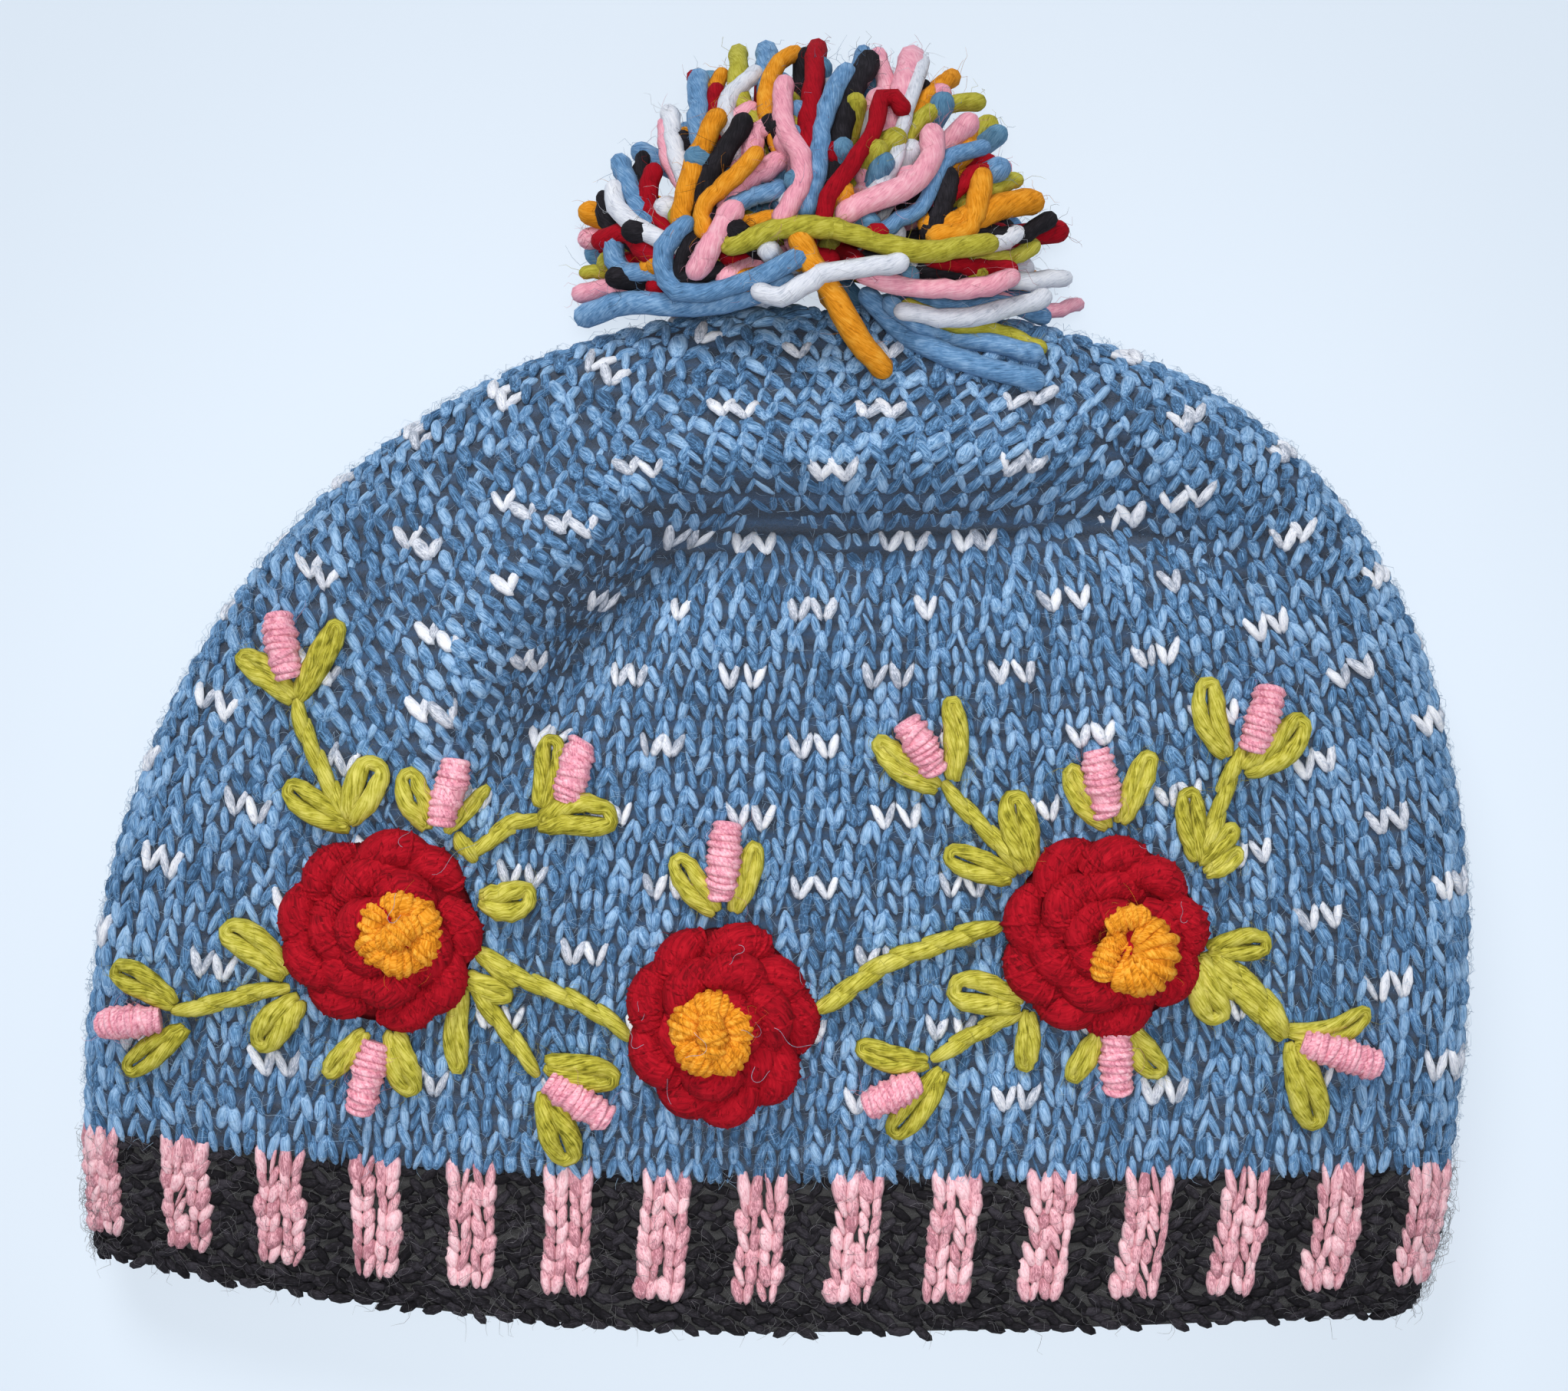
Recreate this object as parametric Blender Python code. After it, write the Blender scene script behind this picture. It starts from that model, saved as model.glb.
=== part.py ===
"""Hand-knit beanie with embroidered flowers and a yarn pompom, lying on its back."""

import math
import random

import bmesh
import bpy
import numpy as np
from mathutils import Vector
from mathutils.bvhtree import BVHTree

# Driving dimensions in metres. The hat lies on its back: x runs across it, y from the hem to
# the pompom, and z up from the surface it rests on. The origin is under the middle of the body.
HAT_WIDTH = 0.250
CROWN_RISE = 0.1565
HEM_LINE_Y = -0.0599
HEM_DEPTH = 0.0278
KNIT_WALL = 0.0042
HEM_WALL = 0.0046
LYING_HEIGHT = 0.053
BACK_FLATTENING = 0.006
CROWN_SHIFT = 0.0072
HEM_DRAW_IN = 0.0035
RIB_COUNT = 30
RIB_RELIEF = 0.0009
FOLD_DEPTH = 0.012
FOLD_WIDTH = 0.0085
FOLD_SHOULDER = 0.004
FOLD_REACH_ABOVE, FOLD_REACH_BELOW = 0.75, 1.25
ROSE_HEIGHT = 0.0095
ROSE_SCALLOPS = 9
CENTRE_HEIGHT = 0.0055
BUD_WIDTH = 0.0052
BUD_HEIGHT = 0.0050
BUD_END_SHARE = 0.4
LEAF_HEIGHT = 0.0026
STEM_HEIGHT = 0.0023
LAYER_STEP = 0.00013
STEM_WIDTH = 0.0026
ROPE_WIDTH = 0.0031
POMPOM_HEAD_RADIUS = 0.0135
POMPOM_REACH_SIDE = 0.0440
POMPOM_REACH_UP = 0.0345
POMPOM_REACH_TOP = 0.0290
POMPOM_FLOOR_GAP = 0.0012
LOCK_WIDENING = 1.5
SEAT_OF_LOCKS = 0.0025
SEAM_GAP = 0.0003
SEAT_GAP = 0.00035
STEEPEST_SEAT = 0.35
ABOVE_ALL = 10 * LYING_HEIGHT

# Mesh density: points round a row, points of a row's outline before they are evened out, rows
# up the body and how they crowd towards the crown, and the weld that tidies a Boolean.
BODY_COLUMNS = 60
OUTLINE_POINTS = 480
BODY_ROWS = 17
ROW_CROWDING = 1.25
LAST_ROW = 0.992
STITCHES_PER_RIB = 4
WELD = 0.000003

HALF_WIDTH = HAT_WIDTH / 2
CROWN_Y = HEM_LINE_Y + CROWN_RISE

# Each flank of the hat. start: height of the hem line above its middle, as a share of the rise.
# ease: how fast a row climbs along this flank. taper and roundness: the flank's outline.
# hem_drop: how deep the hem hangs here, as a share of its depth. tuck: how far it narrows.
# draw_in: how much of HEM_DRAW_IN this flank takes. The middle has a start and an ease only.
FLANKS = {
    "left": dict(
        start=0.051, ease=1.6, taper=2.2, roundness=2.0, hem_drop=0.80, tuck=0.012, draw_in=0.0
    ),
    "right": dict(
        start=0.010, ease=1.5, taper=3.5, roundness=2.3, hem_drop=0.94, tuck=0.055, draw_in=1.0
    ),
}
MIDDLE_EASE = 1.08
ROW_BEND_LOW, ROW_BEND_HIGH = 1.8, 4.4
SECTION_POWER = 3.0
DOME_POWER = 8.0
DRAW_IN_SHARE = 0.25

# Height of the front above the surface, at shares of the rise (hem below 0), as shares of
# LYING_HEIGHT.
HEIGHTS = (
    dict(up=-0.18, height=0.50),
    dict(up=0.00, height=0.56),
    dict(up=0.10, height=0.66),
    dict(up=0.30, height=0.74),
    dict(up=0.50, height=0.80),
    dict(up=0.66, height=0.92),
    dict(up=0.80, height=1.00),
    dict(up=0.92, height=0.98),
    dict(up=1.00, height=0.94),
)

# Folds pressed into the front. across: share of the half width. up: share of the rise.
# depth: share of FOLD_DEPTH.
FOLDS = {
    "under_crown": (
        dict(across=-0.43, up=0.43, depth=0.10),
        dict(across=-0.36, up=0.51, depth=0.65),
        dict(across=-0.27, up=0.63, depth=1.00),
        dict(across=-0.16, up=0.715, depth=1.00),
        dict(across=-0.03, up=0.745, depth=0.90),
        dict(across=0.12, up=0.735, depth=0.90),
        dict(across=0.46, up=0.750, depth=0.60),
        dict(across=0.70, up=0.700, depth=0.10),
    ),
    "crown_pleat": (
        dict(across=0.42, up=0.88, depth=0.10),
        dict(across=0.49, up=0.80, depth=0.40),
        dict(across=0.56, up=0.73, depth=0.20),
    ),
}

# Roses: place of the middle, half sizes in metres, and the offset of the yellow centre.
ROSES = {
    "left": dict(across=-0.558, up=0.288, wide=0.0180, high=0.0180, shift=(0.0033, -0.0003)),
    "middle": dict(across=-0.078, up=0.185, wide=0.0162, high=0.0182, shift=(-0.0018, -0.0019)),
    "right": dict(across=0.460, up=0.284, wide=0.0184, high=0.0182, shift=(0.0047, -0.0030)),
}
CENTRE_RADIUS = 0.0080

# Pink buds, each a wrapped knot: its two ends as shares of the half width and of the rise.
BUDS = {
    "bud_left_1": dict(base=(-0.689, 0.578), tip=(-0.702, 0.640)),
    "bud_left_2": dict(base=(-0.474, 0.420), tip=(-0.460, 0.478)),
    "bud_left_3": dict(base=(-0.294, 0.440), tip=(-0.269, 0.492)),
    "bud_left_4": dict(base=(-0.886, 0.187), tip=(-0.948, 0.180)),
    "bud_left_5": dict(base=(-0.571, 0.149), tip=(-0.590, 0.091)),
    "bud_left_6": dict(base=(-0.312, 0.113), tip=(-0.246, 0.080)),
    "bud_middle": dict(base=(-0.080, 0.335), tip=(-0.072, 0.405)),
    "bud_right_1": dict(base=(0.217, 0.476), tip=(0.184, 0.522)),
    "bud_right_2": dict(base=(0.461, 0.430), tip=(0.448, 0.489)),
    "bud_right_3": dict(base=(0.671, 0.500), tip=(0.690, 0.557)),
    "bud_right_4": dict(base=(0.190, 0.116), tip=(0.131, 0.094)),
    "bud_right_5": dict(base=(0.478, 0.146), tip=(0.480, 0.104)),
    "bud_right_6": dict(base=(0.757, 0.159), tip=(0.845, 0.136)),
}

# Green sprigs. Each leaf is (base across, base up, tip across, tip up, width in metres), each
# stem is its width and then the points it runs through, as shares.
SPRIGS = {
    "sprig_left_top": dict(
        leaves=(
            (-0.685, 0.549, -0.767, 0.603, 0.0055),
            (-0.677, 0.552, -0.615, 0.640, 0.0052),
            (-0.606, 0.407, -0.700, 0.454, 0.0060),
            (-0.604, 0.415, -0.562, 0.486, 0.0070),
            (-0.502, 0.407, -0.524, 0.474, 0.0056),
        ),
        stems=(
            (STEM_WIDTH, (-0.682, 0.552), (-0.650, 0.487), (-0.625, 0.441), (-0.604, 0.405)),
            (STEM_WIDTH, (-0.606, 0.411), (-0.553, 0.420), (-0.502, 0.410)),
        ),
    ),
    "sprig_left_east": dict(
        leaves=(
            (-0.452, 0.392, -0.408, 0.453, 0.0030),
            (-0.333, 0.425, -0.315, 0.510, 0.0056),
            (-0.333, 0.409, -0.221, 0.417, 0.0068),
        ),
        stems=((STEM_WIDTH, (-0.455, 0.392), (-0.425, 0.380), (-0.383, 0.403), (-0.330, 0.417)),),
    ),
    "leaf_left_east": dict(leaves=((-0.412, 0.324, -0.338, 0.328, 0.0070),), stems=()),
    "sprig_left_west": dict(
        leaves=(
            (-0.705, 0.232, -0.789, 0.296, 0.0070),
            (-0.700, 0.220, -0.743, 0.151, 0.0066),
            (-0.862, 0.197, -0.951, 0.245, 0.0056),
            (-0.860, 0.184, -0.934, 0.123, 0.0052),
        ),
        stems=((STEM_WIDTH, (-0.700, 0.226), (-0.780, 0.207), (-0.864, 0.190)),),
    ),
    "leaf_left_south_a": dict(leaves=((-0.598, 0.163, -0.645, 0.120, 0.0048),), stems=()),
    "leaf_left_south_b": dict(leaves=((-0.540, 0.163, -0.518, 0.098, 0.0060),), stems=()),
    "sprig_left_southeast": dict(
        leaves=(
            (-0.444, 0.212, -0.454, 0.123, 0.0041),
            (-0.430, 0.228, -0.373, 0.196, 0.0036),
            (-0.330, 0.140, -0.232, 0.127, 0.0048),
            (-0.334, 0.122, -0.294, 0.022, 0.0066),
        ),
        stems=(
            (ROPE_WIDTH, (-0.415, 0.255), (-0.359, 0.234), (-0.289, 0.210), (-0.215, 0.180)),
            (STEM_WIDTH, (-0.400, 0.250), (-0.425, 0.230), (-0.446, 0.208)),
            (STEM_WIDTH, (-0.425, 0.228), (-0.403, 0.194), (-0.369, 0.159), (-0.333, 0.128)),
        ),
    ),
    "leaf_middle_left": dict(leaves=((-0.094, 0.316, -0.147, 0.376, 0.0054),), stems=()),
    "leaf_middle_right": dict(leaves=((-0.062, 0.316, -0.029, 0.391, 0.0044),), stems=()),
    "rope_right": dict(
        leaves=(),
        stems=(
            (ROPE_WIDTH, (0.066, 0.200), (0.099, 0.222), (0.153, 0.252), (0.212, 0.270), (0.300, 0.295)),
        ),
    ),
    "sprig_right_northwest": dict(
        leaves=(
            (0.228, 0.452, 0.134, 0.500, 0.0052),
            (0.240, 0.456, 0.250, 0.556, 0.0044),
            (0.345, 0.366, 0.330, 0.450, 0.0068),
            (0.335, 0.366, 0.232, 0.378, 0.0058),
        ),
        stems=((STEM_WIDTH, (0.230, 0.456), (0.272, 0.420), (0.316, 0.384), (0.342, 0.364)),),
    ),
    "leaf_right_crown_a": dict(leaves=((0.440, 0.412, 0.402, 0.477, 0.0046),), stems=()),
    "leaf_right_crown_b": dict(leaves=((0.486, 0.412, 0.528, 0.493, 0.0048),), stems=()),
    "sprig_right_northeast": dict(
        leaves=(
            (0.648, 0.480, 0.602, 0.577, 0.0062),
            (0.656, 0.476, 0.749, 0.525, 0.0066),
            (0.600, 0.374, 0.579, 0.453, 0.0056),
            (0.602, 0.379, 0.653, 0.414, 0.0040),
            (0.607, 0.361, 0.660, 0.374, 0.0036),
        ),
        stems=((STEM_WIDTH, (0.652, 0.484), (0.634, 0.455), (0.616, 0.408), (0.602, 0.370)),),
    ),
    "sprig_right_east": dict(
        leaves=(
            (0.612, 0.262, 0.702, 0.278, 0.0058),
            (0.616, 0.256, 0.622, 0.179, 0.0066),
            (0.722, 0.178, 0.845, 0.198, 0.0048),
            (0.724, 0.172, 0.768, 0.062, 0.0070),
        ),
        stems=((ROPE_WIDTH, (0.614, 0.264), (0.640, 0.246), (0.675, 0.220), (0.725, 0.173)),),
    ),
    "leaf_right_south_a": dict(leaves=((0.450, 0.160, 0.412, 0.112, 0.0044),), stems=()),
    "leaf_right_south_b": dict(leaves=((0.508, 0.165, 0.547, 0.116, 0.0054),), stems=()),
    "sprig_right_southwest": dict(
        leaves=(
            (0.334, 0.202, 0.237, 0.226, 0.0072),
            (0.338, 0.196, 0.348, 0.126, 0.0044),
            (0.214, 0.140, 0.108, 0.159, 0.0046),
            (0.222, 0.134, 0.158, 0.052, 0.0056),
        ),
        stems=((STEM_WIDTH, (0.336, 0.199), (0.296, 0.179), (0.252, 0.159), (0.216, 0.136)),),
    ),
}

COLOURS = {
    "blue wool": (0.105, 0.246, 0.451),
    "charcoal wool": (0.027, 0.026, 0.028),
    "rose red wool": (0.480, 0.006, 0.014),
    "yellow wool": (0.800, 0.350, 0.012),
    "pink wool": (0.790, 0.330, 0.400),
    "green wool": (0.350, 0.360, 0.030),
    "mixed wool": (0.640, 0.330, 0.230),
}
WOOL_ROUGHNESS = 0.95


def clear_scene():
    for obj in list(bpy.data.objects):
        bpy.data.objects.remove(obj, do_unlink=True)


def wool(name):
    material = bpy.data.materials.get(name)
    if material is None:
        material = bpy.data.materials.new(name)
        material.use_nodes = True
        shader = material.node_tree.nodes["Principled BSDF"]
        shader.inputs["Base Color"].default_value = (*COLOURS[name], 1.0)
        shader.inputs["Roughness"].default_value = WOOL_ROUGHNESS
        shader.inputs["Metallic"].default_value = 0.0
    return material


def column(rows, key):
    return [row[key] for row in rows]


def climb(share, ease):
    """Share of the rise reached at this share of the rows."""
    return 1.0 - (1.0 - share) ** ease


class Row:
    """One row of knitting round the hat. share runs from 0 at the hem line to 1 at the crown,
    and from 0 to -1 down the hem. inset moves the surface inwards by a wall."""

    def __init__(self, share, inset=0.0):
        self.inset = inset
        self.body = max(share, 0.0)
        self.hem = max(-share, 0.0)
        self.rise = CROWN_RISE - inset
        hem_up = -self.hem * HEM_DEPTH / CROWN_RISE
        self.height = np.interp(
            self.body if self.body > 0 else hem_up, column(HEIGHTS, "up"), column(HEIGHTS, "height")
        ) * LYING_HEIGHT
        self.dome = (1.0 - self.body**DOME_POWER) ** 0.5
        self.middle_y = HEM_LINE_Y + self.rise * climb(self.body, MIDDLE_EASE) - self.hem * HEM_DEPTH
        self.bend = ROW_BEND_LOW + (ROW_BEND_HIGH - ROW_BEND_LOW) * self.body
        self.centre_x = CROWN_SHIFT * self.body**4
        self.edge = {name: self.flank(**values) for name, values in FLANKS.items()}

    def flank(self, start, ease, taper, roundness, hem_drop, tuck, draw_in):
        """(half width, y) of this row at one flank."""
        reached = climb(self.body, ease)
        width = (HALF_WIDTH - self.inset) * (1.0 - reached**taper) ** (1.0 / roundness)
        drawn = max(0.0, 1.0 - self.body / DRAW_IN_SHARE) ** 2 * HEM_DRAW_IN * draw_in
        width = (width - drawn) * (1.0 - tuck * self.hem**2)
        low = HEM_LINE_Y + start * CROWN_RISE
        y = low + (HEM_LINE_Y + self.rise - low) * reached - self.hem * HEM_DEPTH * hem_drop
        return width, y

    def plan(self, across):
        """(x, y) at across, from -1 at the left flank to 1 at the right one."""
        width, edge_y = self.edge["left" if across < 0 else "right"]
        y = self.middle_y + (edge_y - self.middle_y) * abs(across) ** self.bend
        return self.centre_x + across * width, y

    def point(self, across, front):
        """A point on the front or the back of the row."""
        x, y = self.plan(across)
        middle_z = self.height / 2
        swell = max(0.0, 1.0 - abs(across) ** SECTION_POWER) ** (1.0 / SECTION_POWER) * self.dome
        if front:
            z = middle_z + (middle_z - self.inset) * swell + relief(x, y) * swell
        else:
            z = middle_z - (middle_z + BACK_FLATTENING - self.inset) * swell
        return Vector((x, y, max(z, self.inset)))

    def ring(self, count):
        """Points round the row, evenly spaced along it, from the right flank over the front."""
        turn = np.linspace(0.0, 2 * math.pi, OUTLINE_POINTS + 1)
        outline = []
        for angle in turn:
            cosine = math.cos(angle)
            across = math.copysign(abs(cosine) ** (2.0 / SECTION_POWER), cosine)
            outline.append(self.point(across, math.sin(angle) >= 0))
        outline = np.array(outline)
        steps = np.linalg.norm(np.diff(outline, axis=0), axis=1)
        walked = np.concatenate([[0.0], np.cumsum(steps)])
        wanted = np.arange(count) * walked[-1] / count
        return np.column_stack([np.interp(wanted, walked, outline[:, i]) for i in range(3)])


def relief(x, y):
    """How far the folds push the front up or down at a place."""
    total = 0.0
    for fold in FOLDS.values():
        nearest = None
        for first, second in zip(fold, fold[1:]):
            ax, ay = first["across"] * HALF_WIDTH, HEM_LINE_Y + first["up"] * CROWN_RISE
            bx, by = second["across"] * HALF_WIDTH, HEM_LINE_Y + second["up"] * CROWN_RISE
            length2 = (bx - ax) ** 2 + (by - ay) ** 2
            along = max(0.0, min(1.0, ((x - ax) * (bx - ax) + (y - ay) * (by - ay)) / length2))
            gap_x, gap_y = x - ax - along * (bx - ax), y - ay - along * (by - ay)
            distance = math.hypot(gap_x, gap_y)
            side = math.copysign(1.0, (bx - ax) * gap_y - (by - ay) * gap_x)
            depth = first["depth"] + (second["depth"] - first["depth"]) * along
            if nearest is None or distance < nearest[0]:
                nearest = (distance, side, depth)
        distance, side, depth = nearest
        reach = FOLD_WIDTH * (FOLD_REACH_ABOVE if side > 0 else FOLD_REACH_BELOW)
        total -= FOLD_DEPTH * depth * math.exp(-((distance / reach) ** 2))
        if side > 0:
            total += FOLD_SHOULDER * depth * math.exp(-(((distance - 2 * FOLD_WIDTH) / FOLD_WIDTH) ** 2))
    return total


def body_shares(count):
    """Rows up the body, closer together towards the crown."""
    return [climb(i / count, ROW_CROWDING) for i in range(count)] + [LAST_ROW]


def mesh_from(name, points, faces, material):
    mesh = bpy.data.meshes.new(name)
    mesh.from_pydata([tuple(p) for p in points], [], faces)
    mesh.materials.append(wool(material))
    mesh.validate()
    bm = bmesh.new()
    bm.from_mesh(mesh)
    bmesh.ops.recalc_face_normals(bm, faces=bm.faces)
    bm.to_mesh(mesh)
    bm.free()
    mesh.shade_smooth()
    mesh.set_sharp_from_angle(angle=math.radians(50))
    obj = bpy.data.objects.new(name, mesh)
    bpy.context.scene.collection.objects.link(obj)
    return obj


def stitch_rings(rings, closed):
    """Faces between rings of equal length. closed also joins the last ring to the first."""
    count = len(rings[0])
    faces = []
    pairs = list(zip(range(len(rings) - 1), range(1, len(rings))))
    if closed:
        pairs.append((len(rings) - 1, 0))
    for low, high in pairs:
        for i in range(count):
            j = (i + 1) % count
            faces.append((low * count + i, low * count + j, high * count + j, high * count + i))
    return faces


def make_body():
    """Hollow crown and sides: an outer and an inner skin joined round the hem line."""
    shares = body_shares(BODY_ROWS)
    outer = [Row(share).ring(BODY_COLUMNS) for share in shares]
    inner = [Row(share, KNIT_WALL).ring(BODY_COLUMNS) for share in shares]
    rings = outer[::-1] + inner
    points = [point for ring in rings for point in ring]
    faces = stitch_rings(rings, closed=False)
    for ring, inset in ((0, 0.0), (len(rings) - 1, KNIT_WALL)):
        tip = Row(1.0, inset).point(0.0, True)
        points.append(tip)
        top = len(points) - 1
        start = ring * BODY_COLUMNS
        faces += [(start + i, start + (i + 1) % BODY_COLUMNS, top) for i in range(BODY_COLUMNS)]
    return mesh_from("knit_body", points, faces, "blue wool")


def make_hem():
    """Ribbed band round the opening: pairs of raised and of sunk columns, then a plain edge."""
    count = RIB_COUNT * STITCHES_PER_RIB
    start = SEAM_GAP / HEM_DEPTH
    levels = ((start, 1.0), (0.76, 1.0), (0.80, 0.0), (1.0, 0.3))
    rings = []
    for depth, ribbed in levels:
        ring = Row(-depth).ring(count)
        following = np.roll(ring, -1, axis=0) - np.roll(ring, 1, axis=0)
        outward = np.column_stack([following[:, 2], np.zeros(count), -following[:, 0]])
        outward /= np.linalg.norm(outward, axis=1)[:, None]
        raised = np.array([1.0 if (i // 2) % 2 == 0 else -1.0 for i in range(count)])
        ring = ring + outward * (raised * RIB_RELIEF * ribbed)[:, None]
        ring[:, 2] = np.maximum(ring[:, 2], 0.0)
        rings.append(ring)
    inner = [Row(-depth, HEM_WALL).ring(count) for depth in (1.0, start)]
    rings += inner
    points = [point for ring in rings for point in ring]
    return mesh_from("hem_band", points, stitch_rings(rings, closed=True), "charcoal wool")


def tree_of(obj):
    bm = bmesh.new()
    bm.from_mesh(obj.data)
    tree = BVHTree.FromBMesh(bm)
    bm.free()
    return tree


def seat(tree, x, y):
    """The height of the surface below a place, or nearest to it, and how steep it is there."""
    hit, normal, _, _ = tree.ray_cast(Vector((x, y, ABOVE_ALL)), Vector((0, 0, -1)))
    if hit is None:
        hit, normal, _, _ = tree.find_nearest(Vector((x, y, LYING_HEIGHT)))
    return hit.z, max(abs(normal.z), STEEPEST_SEAT)


def spot(across, up):
    """(x, y) of a place given as shares of the half width and of the rise."""
    return Vector((across * HALF_WIDTH, HEM_LINE_Y + up * CROWN_RISE))


def laid_strip(tree, line, widths, heights, profile, lift=0.0):
    """A closed solid laid on the surface along a line. widths and heights are its half width
    and height at each point, profile the (side, height) corners across its top, and lift how
    far it is raised."""
    points, faces = [], []
    for i, place in enumerate(line):
        ahead = (line[min(i + 1, len(line) - 1)] - line[max(i - 1, 0)]).normalized()
        aside = Vector((-ahead.y, ahead.x))
        for side, level in profile:
            corner = place + aside * (side * widths[i])
            base, steep = seat(tree, corner.x, corner.y)
            points.append(Vector((*corner, base + SEAT_GAP / steep + lift + level * heights[i])))
    count = len(profile)
    for i in range(len(line) - 1):
        for k in range(count):
            n = (k + 1) % count
            faces.append((i * count + k, i * count + n, (i + 1) * count + n, (i + 1) * count + k))
    faces.append(tuple(range(count)))
    faces.append(tuple(range((len(line) - 1) * count, len(line) * count)))
    return points, faces


# Corners across the top of a laid strip: share of its half width, and share of its height.
FLAT_PROFILE = ((-1.0, 0.0), (-0.62, 1.0), (0.62, 1.0), (1.0, 0.0))
ROUND_PROFILE = ((-0.7, 0.0), (-1.0, 0.45), (-0.55, 0.9), (0.55, 0.9), (1.0, 0.45), (0.7, 0.0))
# Stations along a leaf and along a bud: share of its length, of its width and of its height.
LEAF_STATIONS = (
    (0.0, 0.30, 0.8),
    (0.3, 0.72, 1.0),
    (0.65, 1.0, 1.0),
    (0.9, 0.72, 0.9),
    (1.0, 0.30, 0.6),
)
BUD_STATIONS = (
    (0.0, 0.45, 0.55),
    (0.12, 0.85, 0.9),
    (0.35, 1.0, 1.0),
    (0.65, 1.0, 1.0),
    (0.88, 0.85, 0.9),
    (1.0, 0.45, 0.55),
)


def leaf_solid(tree, lift, base_across, base_up, tip_across, tip_up, width):
    base, tip = spot(base_across, base_up), spot(tip_across, tip_up)
    line = [base.lerp(tip, along) for along, _, _ in LEAF_STATIONS]
    widths = [wide * width / 2 for _, wide, _ in LEAF_STATIONS]
    heights = [high * LEAF_HEIGHT for _, _, high in LEAF_STATIONS]
    return laid_strip(tree, line, widths, heights, FLAT_PROFILE, lift)


def stem_solid(tree, lift, width, *shares):
    line = [spot(*share) for share in shares]
    widths = [width / 2] * len(line)
    return laid_strip(tree, line, widths, [STEM_HEIGHT] * len(line), FLAT_PROFILE, lift)


def make_bud(tree, name, base, tip):
    start, end = spot(*base), spot(*tip)
    ahead = (end - start).normalized() * BUD_WIDTH * BUD_END_SHARE
    start, end = start - ahead, end + ahead
    line = [start.lerp(end, along) for along, _, _ in BUD_STATIONS]
    widths = [wide * BUD_WIDTH / 2 for _, wide, _ in BUD_STATIONS]
    heights = [high * BUD_HEIGHT for _, _, high in BUD_STATIONS]
    points, faces = laid_strip(tree, line, widths, heights, ROUND_PROFILE)
    return mesh_from(name, points, faces, "pink wool")


def laid_dome(tree, middle, wide, high, rings, count, name, material, level=False):
    """A rounded piece laid on the surface, from (radius share, height, scallop depth) rings.
    level sets its underside flat, on the highest point below it."""
    points, faces = [], []
    for radius, height, scallop in rings:
        for i in range(count):
            angle = 2 * math.pi * i / count
            reach = radius * (1.0 + scallop * math.cos(ROSE_SCALLOPS * angle))
            x = middle.x + wide * reach * math.cos(angle)
            y = middle.y + high * reach * math.sin(angle)
            base, steep = seat(tree, x, y)
            points.append(Vector((x, y, base + SEAT_GAP / steep + height)))
    if level:
        highest = max(point.z - rings[i // count][1] for i, point in enumerate(points))
        for i, point in enumerate(points):
            point.z = highest + rings[i // count][1]
    faces += stitch_rings(np.zeros((len(rings), count)), closed=False)
    for ring, height in ((0, rings[0][1]), (len(rings) - 1, rings[-1][1])):
        base, steep = seat(tree, middle.x, middle.y)
        centre_z = highest + height if level else base + SEAT_GAP / steep + height
        points.append(Vector((middle.x, middle.y, centre_z)))
        start = ring * count
        faces += [(start + i, start + (i + 1) % count, len(points) - 1) for i in range(count)]
    return mesh_from(name, points, faces, material)


def make_rose(tree, name, across, up, wide, high, shift):
    """A domed rose of coiled petals, and the knotted centre that sits on it."""
    middle = spot(across, up)
    top = ROSE_HEIGHT
    rings = (
        (0.45, 0.0, 0.0),
        (0.90, 0.0, 0.03),
        (1.00, 0.32 * top, 0.045),
        (0.93, 0.66 * top, 0.045),
        (0.80, 0.72 * top, 0.02),
        (0.64, 0.96 * top, 0.04),
        (0.46, 0.90 * top, 0.0),
    )
    rose = laid_dome(tree, middle, wide, high, rings, 3 * ROSE_SCALLOPS, f"rose_{name}", "rose red wool")
    place = middle + Vector(shift)
    rounds = (
        (0.30, 0.0, 0.0),
        (0.62, 0.0, 0.0),
        (0.92, 0.0, 0.03),
        (1.00, 0.45 * CENTRE_HEIGHT, 0.06),
        (0.80, 0.88 * CENTRE_HEIGHT, 0.06),
        (0.40, CENTRE_HEIGHT, 0.0),
    )
    laid_dome(
        tree_of(rose),
        place,
        CENTRE_RADIUS,
        CENTRE_RADIUS,
        rounds,
        2 * ROSE_SCALLOPS,
        f"rose_centre_{name}",
        "yellow wool",
        level=True,
    )
    return rose


def grown(obj, amount):
    """A hidden copy of a piece, larger by a clearance all round."""
    copy = obj.copy()
    copy.data = obj.data.copy()
    normals = [v.normal.copy() for v in copy.data.vertices]
    for vertex, normal in zip(copy.data.vertices, normals):
        vertex.co += normal * amount
    bpy.context.scene.collection.objects.link(copy)
    copy.hide_render = True
    copy.display_type = "WIRE"
    return copy


def largest_body(bm):
    """Removes what a cut left loose, such as the tip of a leaf under a rose."""
    left = set(bm.verts)
    bodies = []
    while left:
        found, edge = set(), [left.pop()]
        while edge:
            vertex = edge.pop()
            found.add(vertex)
            near = [e.other_vert(vertex) for e in vertex.link_edges]
            edge += [v for v in near if v not in found]
            left.difference_update(near)
        bodies.append(found)
    bodies.sort(key=len)
    loose = [v for body in bodies[:-1] for v in body]
    bmesh.ops.delete(bm, geom=loose, context="VERTS")


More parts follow.
